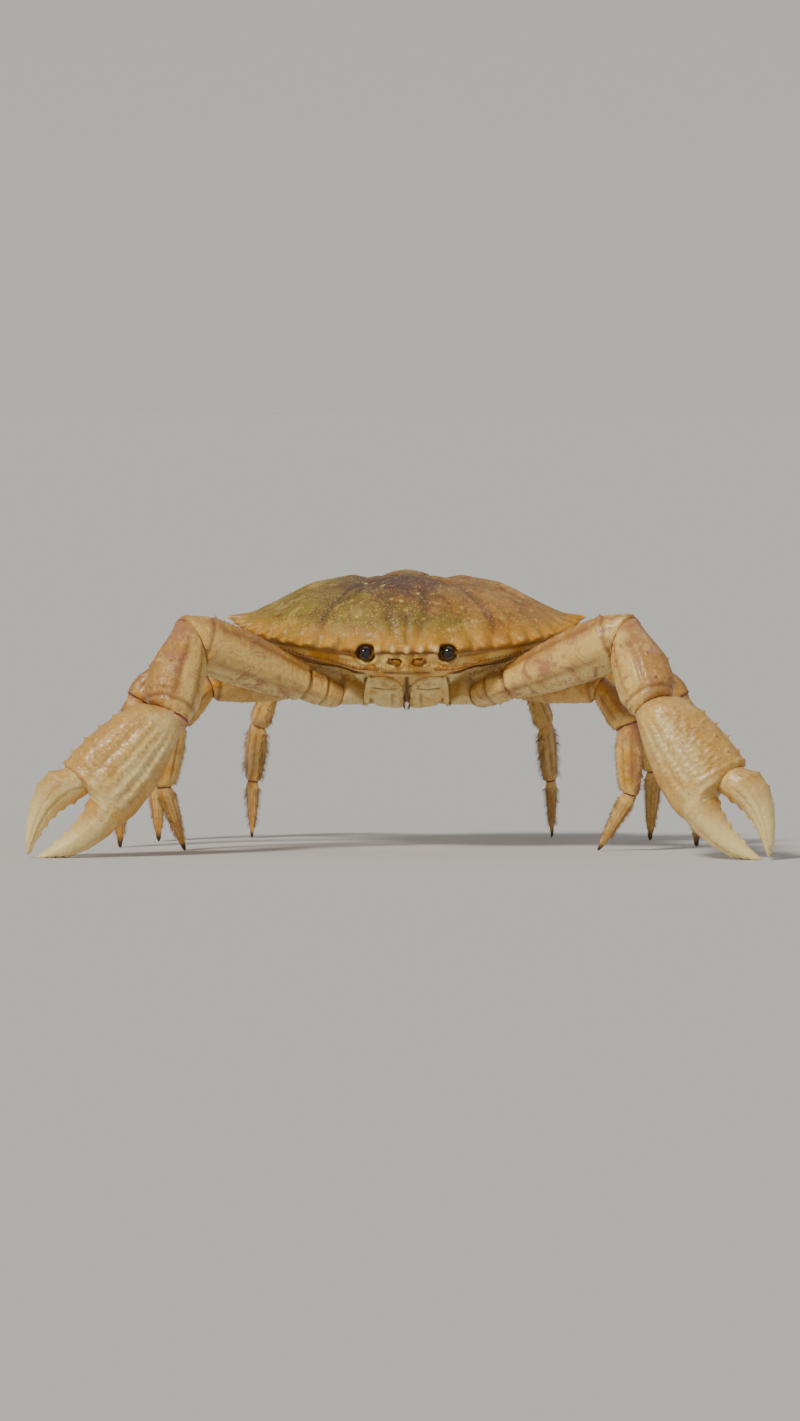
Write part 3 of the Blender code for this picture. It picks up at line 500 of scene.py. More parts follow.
def underside_finish(name, golden, worn):
    """Cream shell with golden patches, rusty flecks, tan flanks, painted shade in its grooves and a
    painted shadow along the edge of the shell above.
    """
    r = Recipe(name)
    base = r.mix(r.steps(r.noise(0.014, 5, 0.6, 0.4), 0.40, 0.62), PALE, CREAM)
    base = r.patches(
        base,
        ((0.007, 6, 0.7), 0.52, 0.70, GOLD, golden),
        ((0.0028, 6, 0.75, 0.4), 0.50, 0.66, RUST, worn),
    )
    uneven = r.steps(r.noise(0.010, 6, 0.7), 0.36, 0.60, 0.4)
    base = r.mix(r.maths("MULTIPLY", r.measure("flank"), uneven), base, TAN, 0.70)
    # Painted shade: grooves, joints and the line under the shell's edge are darkened with rust.
    base = r.mix(r.steps(r.measure("hollow_shade"), 0.1, 0.9), base, RUST, 0.75)
    return r.finish(base, 0.42, shell_relief(r), coat=0.15, subsurface=0.05)


def eye_finish():
    """A black cornea with the finest of facets, on a stalk of shell."""
    r = Recipe("eye_and_stalk")
    cornea = r.steps(r.measure("along"), 0.50, 0.54)
    stalk = r.mix(r.steps(r.noise(0.0016, 4), 0.42, 0.60), CREAM, RUST)
    base = r.mix(cornea, stalk, EYE_BLACK)
    rough = r.steps(cornea, 0.2, 0.9, 0.40, 0.10)
    return r.finish(base, rough, ((r.cells(0.00016), -0.00001),), coat=0.6)


finishes = {
    "carapace": carapace_finish(),
    "underside": underside_finish("cream_underside", 0.50, 0.22),
    "mouth": underside_finish("mouth_shell", 0.70, 0.34),
    "arm": limb_finish("wet_claw_arm", ARM_BACK, CREAM, PALE, PINK, 1.10, 1.25, pink=0.85),
    "claw": limb_finish("wet_claw", CLAW_BACK, PALE, GOLD, PALE, 0.62, 0.95, pink=0.22),
    "leg": limb_finish("wet_leg", LEG_BACK, GOLD, CREAM, PINK, 1.10, 1.25),
    "toe": limb_finish("horny_toe", TAN, GOLD, CREAM, HORN, 0.86, 1.00, wet=0.15),
    "eye": eye_finish(),
    "membrane": plain_finish("joint_skin", DARK_SKIN, PALE_SKIN, 0.004, 0.45, 0.15, SKIN_FOLDS),
    "stem": plain_finish("feeler_stem", GOLD, RUST, 0.0018, 0.42, 0.1),
    "feeler": plain_finish("ringed_feeler", FEELER_RED, GOLD, 0.002, 0.42, 0.1),
    "hair": plain_finish("hair_fringe", DARK_HAIR, PALE_HAIR, 0.006, 0.6),
}
print("finishes:", len(finishes))

# %% [markdown]
# ## The shell's outline
#
# The broad shell has ten teeth along each front side, the last the largest, and five between the
# eyes. Seen from above, a tooth has a long bowed rear side and a short front side, so it points
# forwards. The outline is written as a list of angles round the front with how far each tooth or
# notch stands out, in shell widths, and then a taper and a gently bowed rear edge.

# %% The shell's own frame
SHELL_WIDTH = 0.166
SHELL_HEIGHT = 0.106
SHELL_PITCH = math.radians(9)
RIM_WIDTH, RIM_LENGTH, RIM_Y = 0.485, 0.395, 0.02
WIDEST_TOOTH_Y = 0.0035

widest = max(frame["nodes"]["carapace"].data.vertices, key=lambda vertex: vertex.co.x).co
middle_x = sum(corner[0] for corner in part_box("carapace")) / 2
shell_middle = Vector((middle_x, widest.y - WIDEST_TOOTH_Y * SHELL_WIDTH, SHELL_HEIGHT))
SHELL = Matrix.Translation(shell_middle) @ Matrix.Rotation(SHELL_PITCH, 4, "X")


def to_shell(places):
    """Places in shell widths, in the shell's own unpitched frame."""
    turn = np.array(SHELL.inverted())
    return (places @ turn[:3, :3].T + turn[:3, 3]) / SHELL_WIDTH


def from_shell(place_in_shell):
    """A place in metres from one in shell widths."""
    return SHELL @ (Vector(place_in_shell) * SHELL_WIDTH)


# %% Teeth and notches round the rim
FRONT_TEETH = (
    (0.0, 0.026),
    (2.1, 0.005),
    (4.7, 0.021),
    (6.9, -0.003),
    (9.5, 0.013),
    (11.5, -0.008),
    (13.5, -0.016),
    (15.6, -0.008),
    (17.8, 0.014),
)
SIDE_TEETH, SIDE_END, LAST_TOOTH = 9, 88.0, 0.030
NOTCH_SHARE, NOTCH, TOOTH, TOOTH_LEAN = 0.66, -0.013, 0.014, 0.45
BROW_LIFT, TOOTH_LIFT = -0.30, 0.35

rim_degrees = [degrees for degrees, _ in FRONT_TEETH]
rim_offsets = [offset for _, offset in FRONT_TEETH]
tooth_step = (SIDE_END - rim_degrees[-1]) / SIDE_TEETH
for tooth in range(SIDE_TEETH):
    start = FRONT_TEETH[-1][0] + tooth * tooth_step
    rim_degrees += [start + NOTCH_SHARE * tooth_step, start + tooth_step]
    rim_offsets += [NOTCH, LAST_TOOTH if tooth == SIDE_TEETH - 1 else TOOTH]
FRONT_END = len(rim_degrees) - 1
rim_leans = [TOOTH_LEAN if 20 < degrees < 85 else 0.0 for degrees in rim_degrees]
print("corners of one side's front rim:", FRONT_END + 1)

# %% [markdown]
# ## The shell's surface
#
# Every column of the shell runs from the top of the dome, over the rim, to the belly. The dome
# stays round near its top and takes up the outline's shape towards the rim, and the teeth show
# only in the last tenth. A flat grid gives the columns. Its points are moved to these places,
# which rolls it up, and merging doubles closes the seam and both poles.

# %% Rim point and tooth of each column
TAPER_START, TAPER_END, TAPER_BULGE, REAR_Y = (0.474, 0.040), (0.242, 0.240), 0.008, 0.281
COLUMNS, TAPER_COLUMNS = 36, 5


def rim_at(column):
    """Smooth rim place and tooth offset, in shell widths, from 0 in front to 36 at the back."""
    corners = np.arange(FRONT_END + 1)
    angle = np.radians(np.interp(column, corners, rim_degrees))
    x, y = RIM_WIDTH * np.sin(angle), RIM_Y - RIM_LENGTH * np.cos(angle)
    offsets = np.array([*rim_offsets, 0.0, 0.0])
    whole = np.minimum(np.floor(column), FRONT_END + 1).astype(int)
    part = np.clip(column - whole, 0, 1)
    here, after = offsets[whole], offsets[np.minimum(whole + 1, FRONT_END + 2)]
    bowed = np.where((after < here) & (whole >= 8), part**1.7, part)
    offset = here + (after - here) * bowed
    out_x = np.sin(angle)
    out_y = -np.cos(angle) - np.interp(column, corners, rim_leans)
    size = offset / np.hypot(out_x, out_y)
    tooth = np.stack((out_x * size, out_y * size), axis=1)

    first = FRONT_END + 1
    share = np.clip((column - first) / TAPER_COLUMNS, 0, 1)
    bulge = TAPER_BULGE * np.sin(math.pi * share) * math.sqrt(0.5)
    taper_x = TAPER_START[0] + (TAPER_END[0] - TAPER_START[0]) * share + bulge
    taper_y = TAPER_START[1] + (TAPER_END[1] - TAPER_START[1]) * share + bulge
    left = 1 - np.clip((column - first - TAPER_COLUMNS) / (COLUMNS - first - TAPER_COLUMNS), 0, 1)
    taper_x, taper_y = taper_x * left, np.where(
        left < 1, REAR_Y - (REAR_Y - TAPER_END[1]) * left**2, taper_y
    )
    behind = np.clip(column - FRONT_END, 0, 1)
    return x + (taper_x - x) * behind, y + (taper_y - y) * behind, tooth


# %% Dome, rim and belly of each column
DOME, BELLY, CENTRE_Y = 0.140, 0.205, -0.05
ROUND_WIDTH, ROUND_FRONT, ROUND_REAR = 0.470, 0.345, 0.330
LOBES = (
    (0.00, -0.190, 0.085, 0.075, 0.008),
    (0.11, -0.225, 0.055, 0.050, 0.008),
    (0.00, 0.085, 0.060, 0.060, 0.006),
    (0.00, 0.195, 0.050, 0.035, 0.006),
    (0.26, 0.010, 0.115, 0.095, 0.014),
    (0.29, -0.160, 0.065, 0.050, 0.008),
    (0.105, 0.055, 0.028, 0.075, -0.012),
    (0.100, -0.095, 0.050, 0.030, -0.009),
    (0.200, -0.170, 0.030, 0.055, -0.008),
)


def shell_surface(column, level):
    """Places in shell widths. Level is 1 on top of the dome, 0 at the rim and -1 at the belly."""
    rim_x, rim_y, tooth = rim_at(column)
    reach = np.hypot(rim_x, rim_y - CENTRE_Y)
    aim_x, aim_y = rim_x / reach, (rim_y - CENTRE_Y) / reach
    front, rear = smooth_step(-aim_y, 0, 1), smooth_step(aim_y, 0, 1)
    wall = smooth_step(-aim_y, 0.74, 1)
    turn = np.clip(-level, 0, 1) * math.pi / 2
    above = level >= 0
    under_share = np.clip(np.cos(turn), 0, 1) ** (1.75 - 1.05 * wall - 0.95 * rear)
    share = np.where(above, 1 - level, under_share)
    height = np.where(
        above,
        DOME * (1 - share ** (1.95 + 0.9 * front + 0.1 * rear)),
        -BELLY * np.sin(turn) ** (1.6 - 0.45 * wall - 0.5 * rear),
    )
    shown = np.where(above, smooth_step(share, 0.90, 1), np.clip(1 + level * 11, 0, 1))
    round_y = np.where(aim_y < 0, ROUND_FRONT, ROUND_REAR)
    round_reach = 1 / np.hypot(aim_x / ROUND_WIDTH, aim_y / round_y)
    reach = (round_reach + (reach - round_reach) * share**3) * share
    x = aim_x * reach + tooth[:, 0] * shown
    y = CENTRE_Y + aim_y * reach + tooth[:, 1] * shown
    z = height - 0.015 * front * share
    lift = np.interp(column, (4.0, 5.2), (BROW_LIFT, TOOTH_LIFT))
    z += lift * (tooth[:, 0] * aim_x + tooth[:, 1] * aim_y) * shown
    for lobe_x, lobe_y, spread_x, spread_y, lobe in LOBES:
        hump = lobe * bell(x, lobe_x, spread_x) * bell(y, lobe_y, spread_y)
        z += np.where(above, hump * (1 - share**4), 0)
    return np.stack((x, y, z), axis=1)


# %% Roll the shell up from a grid
PART_HEIGHT, PART_TILT = -0.056, math.radians(6.5)
ORBIT, ORBIT_RADIUS, ORBIT_STRETCH = (0.113, -0.356, -0.026), 0.0265, (1.15, 1.0, 0.96)
SHELL_VOXEL = 0.00078


def shell_blank():
    """The closed shell above the line where it parts from the breast, with its orbits hollowed out.
    """
    bpy.ops.object.select_all(action="DESELECT")
    bpy.ops.mesh.primitive_grid_add(x_subdivisions=COLUMNS * 20, y_subdivisions=132, size=2)
    piece = bpy.context.object
    piece.name = "shell_top"
    sheet = points(piece)
    column = (1 + sheet[:, 0]) * COLUMNS
    right = column > COLUMNS
    column = np.where(right, 2 * COLUMNS - column, column)
    places = shell_surface(column, sheet[:, 1])
    places[:, 0] *= np.where(right, -1, 1)
    set_points(piece, places)
    piece.data.transform(SHELL @ Matrix.Scale(SHELL_WIDTH, 4))
    up = SHELL.to_3x3() @ Vector((0, -math.sin(PART_TILT), math.cos(PART_TILT)))
    pick(piece)
    bpy.ops.object.mode_set(mode="EDIT")
    bpy.ops.mesh.select_all(action="SELECT")
    bpy.ops.mesh.remove_doubles(threshold=1e-6)
    bpy.ops.mesh.bisect(
        plane_co=from_shell((0, 0, PART_HEIGHT)) + up * 0.00015,
        plane_no=up,
        use_fill=True,
        clear_inner=True,
    )
    bpy.ops.mesh.select_all(action="SELECT")
    bpy.ops.mesh.normals_make_consistent(inside=False)
    bpy.ops.object.mode_set(mode="OBJECT")
    for sign in (1, -1):
        centre = from_shell(Vector(ORBIT) * Vector((sign, 1, 1)))
        size = Vector(ORBIT_STRETCH) * ORBIT_RADIUS * SHELL_WIDTH
        cutter = ball("orbit", centre, size, segments=32)
        cut = piece.modifiers.new("orbit", "BOOLEAN")
        cut.operation = "DIFFERENCE"
        cut.solver = "MANIFOLD"
        cut.object = cutter
        apply_modifiers(piece)
        bpy.data.objects.remove(cutter)
    return piece


# %% [markdown]
# ## Carving the shell
#
# Broad shallow furrows part the stomach, heart and gill regions, which show as low swellings. They
# are pressed into the remeshed blank along its normals, so they follow the dome. A raised line
# runs along the rear edge. The face below the front teeth gets the brims of the orbits, the ridges
# and grooves between eyes and mouth, and two pits for the short feelers. Its lines are finer than
# the rest, so its faces are split once more before it is carved.

# %% Carve the shell
FURROWS = (
    (
        ((0.034, -0.045), (0.085, -0.080), (0.150, -0.120), (0.210, -0.200), (0.250, -0.290)),
        0.017, 0.0056,
    ),
    (((0.056, -0.010), (0.076, 0.050), (0.088, 0.105), (0.110, 0.160)), 0.014, 0.0074),
    (((0.085, -0.020), (0.150, -0.015), (0.230, -0.050), (0.320, -0.062)), 0.015, 0.0036),
    (((0.000, -0.400), (0.000, -0.300)), 0.011, 0.0042),
    (((0.030, -0.370), (0.052, -0.290), (0.045, -0.205)), 0.014, 0.0036),
    (((0.100, 0.205), (0.200, 0.180), (0.300, 0.115), (0.390, 0.045)), 0.014, 0.0036),
    (((0.000, 0.140), (0.045, 0.145), (0.070, 0.120)), 0.012, 0.0040),
    (((0.000, -0.035), (0.036, -0.025), (0.056, -0.008)), 0.011, 0.0056),
)
SWELLINGS = (
    (0.058, -0.150, 0.042, 0.055, 0.0050),
    (0.000, -0.085, 0.022, 0.040, 0.0040),
    (0.130, -0.230, 0.038, 0.038, 0.0042),
    (0.000, 0.060, 0.036, 0.055, 0.0062),
    (0.035, 0.170, 0.030, 0.025, 0.0032),
    (0.160, 0.040, 0.040, 0.040, 0.0048),
    (0.190, 0.120, 0.040, 0.035, 0.0040),
    (0.265, -0.010, 0.060, 0.030, 0.0050),
    (0.290, -0.115, 0.040, 0.030, 0.0038),
    (0.300, -0.200, 0.040, 0.035, 0.0036),
    (0.205, -0.280, 0.030, 0.025, 0.0034),
)

DEEPEST_FURROW = 0.0058
REAR_BEAD_Z, REAR_GROOVE_Z, REAR_LINE = -0.003, 0.017, 0.0065
REAR_BEAD, REAR_GROOVE, ORBIT_BRIM = 0.0048, 0.0040, 0.0055

# %% Lines of the face, below the front teeth
FACE_LINES = (
    (((0.000, -0.028), (0.000, -0.064)), 0.0060, 0.0050),
    (((0.000, -0.073), (0.045, -0.071), (0.074, -0.064)), 0.0042, 0.0036),
    (((0.000, -0.084), (0.062, -0.082)), 0.0040, -0.0036),
    (
        ((0.078, -0.066), (0.130, -0.066), (0.200, -0.058), (0.300, -0.047), (0.400, -0.034)),
        0.0050, 0.0044,
    ),
    (((0.145, -0.036), (0.230, -0.032), (0.330, -0.026), (0.420, -0.020)), 0.0055, -0.0040),
    (((0.000, -0.025), (0.082, -0.025)), 0.0040, -0.0040),
    (((0.120, -0.090), (0.200, -0.082), (0.320, -0.064), (0.420, -0.047)), 0.0050, -0.0036),
)
FACE_BEAD = 0.0100
FACE_TOP, FACE_REAR = -0.018, -0.20
FEELER_PIT, FEELER_PIT_SIZE, FEELER_PIT_DEPTH = (0.034, -0.050), (0.023, 0.013), 0.020


def furrow(x, y, path, width):
    """1 in the middle of a furrow and 0 away from it."""
    nearest = np.full(len(x), 9.0)
    for (x0, y0), (x1, y1) in zip(path, path[1:]):
        run = (x1 - x0) ** 2 + (y1 - y0) ** 2
        share = np.clip(((x - x0) * (x1 - x0) + (y - y0) * (y1 - y0)) / run, 0, 1)
        away = np.hypot(x - x0 - share * (x1 - x0), y - y0 - share * (y1 - y0))
        nearest = np.minimum(nearest, away)
    return np.exp(-((nearest / width) ** 2))


def face_relief(x, z, wall):
    """Lift of the face, and where shade is painted in its creases: its ridges, its grooves and the
    pits of the short feelers.
    """
    lift, crease = np.zeros(len(x)), np.zeros(len(x))
    beads = 0.65 + 0.35 * np.sin(x / FACE_BEAD * 2 * math.pi)
    for path, width, height in FACE_LINES:
        line = furrow(x, z, path, width)
        lift += height * line * (beads if height > 0 else 1)
        crease = np.maximum(crease, 0.8 * line if height < 0 else 0)
    (pit_x, pit_z), (size_x, size_z) = FEELER_PIT, FEELER_PIT_SIZE
    away = np.hypot((x - pit_x) / size_x, (z - pit_z) / size_z)
    pit = smooth_step(away, 1.0, 0.5)
    lift += 0.003 * bell(away, 1.15, 0.16) - FEELER_PIT_DEPTH * pit
    return lift * wall, np.maximum(crease, pit) * wall


def refine_face(piece):
    """Splits the faces of the front wall once, so that its finer lines have enough points."""
    local = to_shell(points(piece))
    choose_points(piece, (local[:, 2] < FACE_TOP) & (local[:, 1] < FACE_REAR))
    bpy.ops.mesh.select_mode(type="EDGE")
    bpy.ops.mesh.subdivide(number_cuts=1)
    bpy.ops.object.mode_set(mode="OBJECT")
    print("shell points:", len(local), "with a finer face:", len(piece.data.vertices))
    return piece


# %% Relief and marks of the shell
def top_relief(x, y, z, facing_up):
    """Lift of the furrows and swellings, where the furrows get painted shade, and how much each
    point lies on top.
    """
    top = smooth_step(facing_up, 0.05, 0.45) * smooth_step(z, -0.030, 0.004)
    lift, hollow_shade = np.zeros(len(x)), np.zeros(len(x))
    for path, width, depth in FURROWS:
        carved = furrow(x, y, path, width)
        lift -= depth * carved
        hollow_shade = np.maximum(hollow_shade, carved * depth / DEEPEST_FURROW)
    for swell_x, swell_y, spread_x, spread_y, height in SWELLINGS:
        lift += height * bell(x, swell_x, spread_x) * bell(y, swell_y, spread_y)
    return lift * top, hollow_shade * top, top


def brow_marks(x, places, brow):
    """Marks on the teeth between the eyes, or in their notches, at these angles round the rim."""
    return brow * sum(bell(x, RIM_WIDTH * math.sin(math.radians(at)), 0.0065) for at, _ in places)


def mark_rim(piece, local, rear_bead, crease, from_eye):
    """Stores where the rim and the teeth's tips are, and where shade is painted: the dark shadow
    line under the teeth and their notches.
    """
    x, y, z = np.abs(local[:, 0]), local[:, 1], local[:, 2]
    reach = np.hypot(local[:, 0] / RIM_WIDTH, (y - RIM_Y) / RIM_LENGTH)
    front = smooth_step(-y, -0.06, 0.02)
    brow = smooth_step(reach, 0.98, 1.02) * smooth_step(z, -0.040, -0.030) * front
    # The marks in the notches between the front teeth are painted shade.
    brow_tips, notch_shade = (brow_marks(x, FRONT_TEETH[first:5:2], brow) for first in (0, 1))
    note(piece, "rim", smooth_step(reach, 0.84, 1.0) * front * smooth_step(z, -0.035, -0.005))
    side_tips = smooth_step(reach, 1.015, 1.045) * front * smooth_step(x, 0.13, 0.20)
    note(piece, "tip", np.maximum.reduce((side_tips, 0.75 * brow_tips, 0.55 * rear_bead)))
    # A painted shadow: the dark line under the toothed front edge.
    shadow = 0.75 * bell(z, -0.022, 0.0075) * smooth_step(-y, 0.02, 0.1)
    shadow *= smooth_step(from_eye, 0.030, 0.034)
    note(piece, "crease", np.maximum.reduce((crease, shadow, 0.75 * notch_shade)))


# %% Build the shell
def build_carapace():
    piece = refine_face(remesh(shell_blank(), SHELL_VOXEL, 2))
    local, facing = to_shell(points(piece)), normals(piece)
    x, y, z = np.abs(local[:, 0]), local[:, 1], local[:, 2]
    lift, hollow_shade, top = top_relief(x, y, z, facing[:, 2])
    behind = smooth_step(y, 0.03, 0.10)
    rear_bead = behind * bell(z, REAR_BEAD_Z, REAR_LINE)
    rear_groove = behind * bell(z, REAR_GROOVE_Z, REAR_LINE)
    lift += REAR_BEAD * rear_bead - REAR_GROOVE * rear_groove
    from_eye = np.stack((x - ORBIT[0], y - ORBIT[1], z - ORBIT[2]), axis=1) / ORBIT_STRETCH
    from_eye = np.linalg.norm(from_eye, axis=1)
    lift += ORBIT_BRIM * bell(from_eye, ORBIT_RADIUS + 0.005, 0.0045)
    wall = smooth_step(0.25 - facing[:, 2], 0, 0.3) * smooth_step(-z, 0.016, 0.024)
    wall *= smooth_step(-y, 0.02, 0.1)
    wall *= smooth_step(from_eye, ORBIT_RADIUS, ORBIT_RADIUS + 0.003)
    face_lift, crease = face_relief(x, z, wall)
    push(piece, (lift + face_lift) * SHELL_WIDTH)
    mark_rim(piece, local, rear_bead, crease, from_eye)
    # Where the furrows and the rear groove get painted shade.
    note(piece, "hollow_shade", np.maximum(hollow_shade, rear_groove))
    note(piece, "under", smooth_step(-z, 0.020, 0.034))
    note(piece, "olive", smooth_step(-local[:, 0], -0.25, 0.25))
    # Where the eye sockets get painted shade.
    note(piece, "socket", smooth_step(from_eye, ORBIT_RADIUS + 0.002, ORBIT_RADIUS - 0.001))
    note(piece, "crown", bell(local[:, 0] + 0.015, 0, 0.27) * bell(y, -0.12, 0.20))
    group_from(piece, "grains", 0.45 + 0.55 * top)
    grain(piece, 0.0026, -0.00026, "VORONOI", "grains")
    grain(piece, 0.0090, 0.00030, "CLOUDS", "grains")
    return place(piece, finishes["carapace"], "shell", "carapace")


carapace = build_carapace()
print("carapace:", len(carapace.data.polygons), "faces")

# %% [markdown]
# ## Limbs
#
# Each limb segment is a tube of shell that is widest past its middle, with a raised back, shallow
# grooves along its flanks and rows of grains. A segment's joints are found from the solids: they
# lie where it comes nearest to its neighbours. Its inner end gets a rounded head that turns inside
# the cuff of the segment before it. Every point then gets two numbers, its share of the way along
# and its height from belly to back, which carving and colours both use.

# %% Joints between solids
def solid_points(node):
    """The corners of a solid, each once."""
    vertices = frame["nodes"][node].data.vertices
    return np.array(sorted({tuple(round(c, 6) for c in vertex.co) for vertex in vertices}))


def section_of(ring):
    """Centre, half widths and axes of a ring of points."""
    centre = ring.mean(axis=0)
    spread = np.linalg.svd(ring - centre)[2]
    first, second = Vector(spread[0]), Vector(spread[1])
    across = np.abs((ring - centre) @ spread[0]).max(), np.abs((ring - centre) @ spread[1]).max()
    return Vector(centre), across, (first, second, first.cross(second))


def joint_between(node, neighbour, count):
    """The section of a solid's end that faces its neighbour."""
    near = solid_points(neighbour)
    tree = KDTree(len(near))
    for index, place_near in enumerate(near):
        tree.insert(place_near, index)
    tree.balance()
    ring = sorted(solid_points(node), key=lambda p: tree.find(p)[2])[:count]
    return section_of(np.array(ring))


def end_nearest(node, origin, along, count):
    """The section of a solid's end that comes first along a direction."""
    corners = solid_points(node)
    order = np.argsort((corners - np.array(origin)) @ np.array(along))
    return section_of(corners[order[:count]])


def limb_measures(piece, start, end):
    """Share along, height from belly to back (-1 to 1) and the side, at each point."""
    along = np.array((end - start).normalized())
    out = Vector(((start.x + end.x) / 2 - target.x, (start.y + end.y) / 2 - target.y, 0))
    back = np.array(out.normalized() + Vector((0, 0, 1)))
    back -= along * back.dot(along)
    back /= np.linalg.norm(back)
    offset = points(piece) - np.array(start)
    share = offset @ along / (end - start).length
    height = offset @ back
    side = offset @ np.cross(along, back)
    steps = np.clip((share * 24).astype(int), 0, 24)
    middle, half = np.zeros(25), np.full(25, 0.002)
    for step in range(25):
        here = height[steps == step]
        if len(here):
            middle[step] = (here.max() + here.min()) / 2
            half[step] = max((here.max() - here.min()) / 2, 0.0012)
    level = (height - middle[steps]) / half[steps]
    return share, np.clip(level, -1.2, 1.2), side


# %% Heads and joint skin
skins = []


def with_head(piece, joint, head_size=0.86, head_reach=0.55, skin_size=0.91, skin_reach=0.24):
    """Welds a rounded head to a segment's inner end and adds the ring of soft skin round it."""
    centre, across, axes = joint
    depth = (across[0] + across[1]) / 2
    size = (across[0] * head_size, across[1] * head_size, depth * head_reach)
    weld(piece, ball("head", centre, size, axes))
    size = (across[0] * skin_size, across[1] * skin_size, depth * skin_reach)
    skins.append(ball("joint_skin", centre, size, axes, 32))
    return piece


# %% Dress one limb segment
BEAD_PITCH, LIMB_GRAIN = 0.0024, 0.0022
segments = {}


def carve_limb(piece, lift, grain_depth, share, level, hollow_shade):
    """Moves the points, raises the grains and stores what the finish reads."""
    push(piece, lift)
    grain(piece, LIMB_GRAIN, grain_depth)
    # The last of these marks the grooves and rings, where the finish paints shade.
    for name, values in (("along", share), ("height", level), ("hollow_shade", hollow_shade)):
        note(piece, name, values)


def dress_segment(
    node, joint, end, finish, record_slot, voxel, grooves, rings=(), beads=0.0002, skin_size=0.91
):
    """A fine copy of a segment, with grooves along its flanks, rings round it and a beaded back."""
    start = joint[0]
    piece = with_head(copy_of(node, node + "_shell"), joint, skin_size=skin_size)
    remesh(piece, voxel, 8)
    share, level, side = limb_measures(piece, start, end)
    middle = smooth_step(share, 0.06, 0.22) * smooth_step(share, 0.97, 0.80)
    lift, hollow_shade = np.zeros(len(share)), np.zeros(len(share))
    for height, width, depth in grooves:
        carved = bell(level, height, width) * middle
        lift -= depth * carved
        hollow_shade = np.maximum(hollow_shade, 0.7 * carved)
    for where, width, depth in rings:
        carved = bell(share, where, width)
        lift -= depth * carved
        lift += 0.35 * depth * bell(share, where + 2.4 * width, 1.2 * width)
        hollow_shade = np.maximum(hollow_shade, carved)
    length = (end - start).length
    row = np.maximum(np.sin(share * length / BEAD_PITCH * 2 * math.pi + 9 * side / 0.001), 0)
    for height in (0.90, -0.90):
        lift += beads * bell(level, height, 0.09) * row * middle
    carve_limb(piece, lift, -0.00024, share, level, hollow_shade)
    segments[node] = (piece, start, end)
    return place(piece, finishes[finish], record_slot, node)


# %% Walking legs
LEG_SIDES, LEG_VOXEL = 12, 0.0007
LEG_LOOKS = (
    ("merus", "leg", ((0.15, 0.16, 0.00022),), ((0.20, 0.018, 0.0006), (0.93, 0.02, 0.0003))),
    ("carpus", "leg", ((0.36, 0.13, 0.0005), (-0.30, 0.13, 0.0004)), ()),
    ("propodus", "leg", ((0.40, 0.12, 0.0005), (-0.32, 0.12, 0.00045)), ()),
    ("dactyl", "toe", ((0.50, 0.15, 0.0004), (-0.05, 0.15, 0.0004), (-0.6, 0.15, 0.0003)), ()),
)


def dress_leg(side, leg):
    before = "thorax"
    for index, (label, finish, grooves, rings) in enumerate(LEG_LOOKS):
        node = f"{side}_leg_{leg}_{label}"
        joint = joint_between(node, before, LEG_SIDES)
        if label == "dactyl":
            end = Vector(min(solid_points(node), key=lambda p: p[2]))
        else:
            following = f"{side}_leg_{leg}_{LEG_LOOKS[index + 1][0]}"
            end = joint_between(node, following, LEG_SIDES)[0]
        dress_segment(node, joint, end, finish, finish, LEG_VOXEL, grooves, rings)
        before = node


for side in ("left", "right"):
    for leg in range(1, 5):
        dress_leg(side, leg)
print("leg segments:", len(segments))

# %% [markdown]
# ## Claws
#
# The palm carries rows of grains along its outer face, and both fingers have blunt biting teeth.
# The solids already hold the spines and the teeth. Low ridges broken into beads are carved here,
# and the finger turns on a rounded head between the lips of the palm.

# %% Claw arms and wrists
CLAW_SIDES = 16
CLAW_BEADS, CLAW_SKIN = 0.00035, 0.87
ARM_VOXEL, CARPUS_VOXEL, PALM_VOXEL, FINGER_VOXEL = 0.0007, 0.0006, 0.00058, 0.0005


def dress_arm(name):
    arm, carpus, palm = (f"{name}_{part}" for part in ("arm", "carpus", "palm"))
    joint = joint_between(arm, "thorax", 12)
    elbow = joint_between(arm, carpus, CLAW_SIDES)[0]
    rings = ((0.105, 0.010, 0.0007), (0.225, 0.012, 0.0012), (0.93, 0.014, 0.0006))
    grooves = ((0.62, 0.10, 0.0004), (-0.62, 0.10, 0.0004))
    looks = (grooves, rings, CLAW_BEADS, CLAW_SKIN)
    dress_segment(arm, joint, elbow, "arm", "claw", ARM_VOXEL, *looks)
    joint = joint_between(carpus, arm, CLAW_SIDES)
    wrist = joint_between(carpus, palm, CLAW_SIDES)[0]
    grooves = ((0.45, 0.1, 0.0005), (-0.35, 0.1, 0.0004))
    looks = (grooves, ((0.90, 0.025, 0.0006),), CLAW_BEADS, CLAW_SKIN)
    dress_segment(carpus, joint, wrist, "arm", "claw", CARPUS_VOXEL, *looks)


# %% Palm with its fixed finger
PALM_RIDGES = (0.66, 0.38, 0.10, -0.18, -0.46)
FINGER_START = 0.566


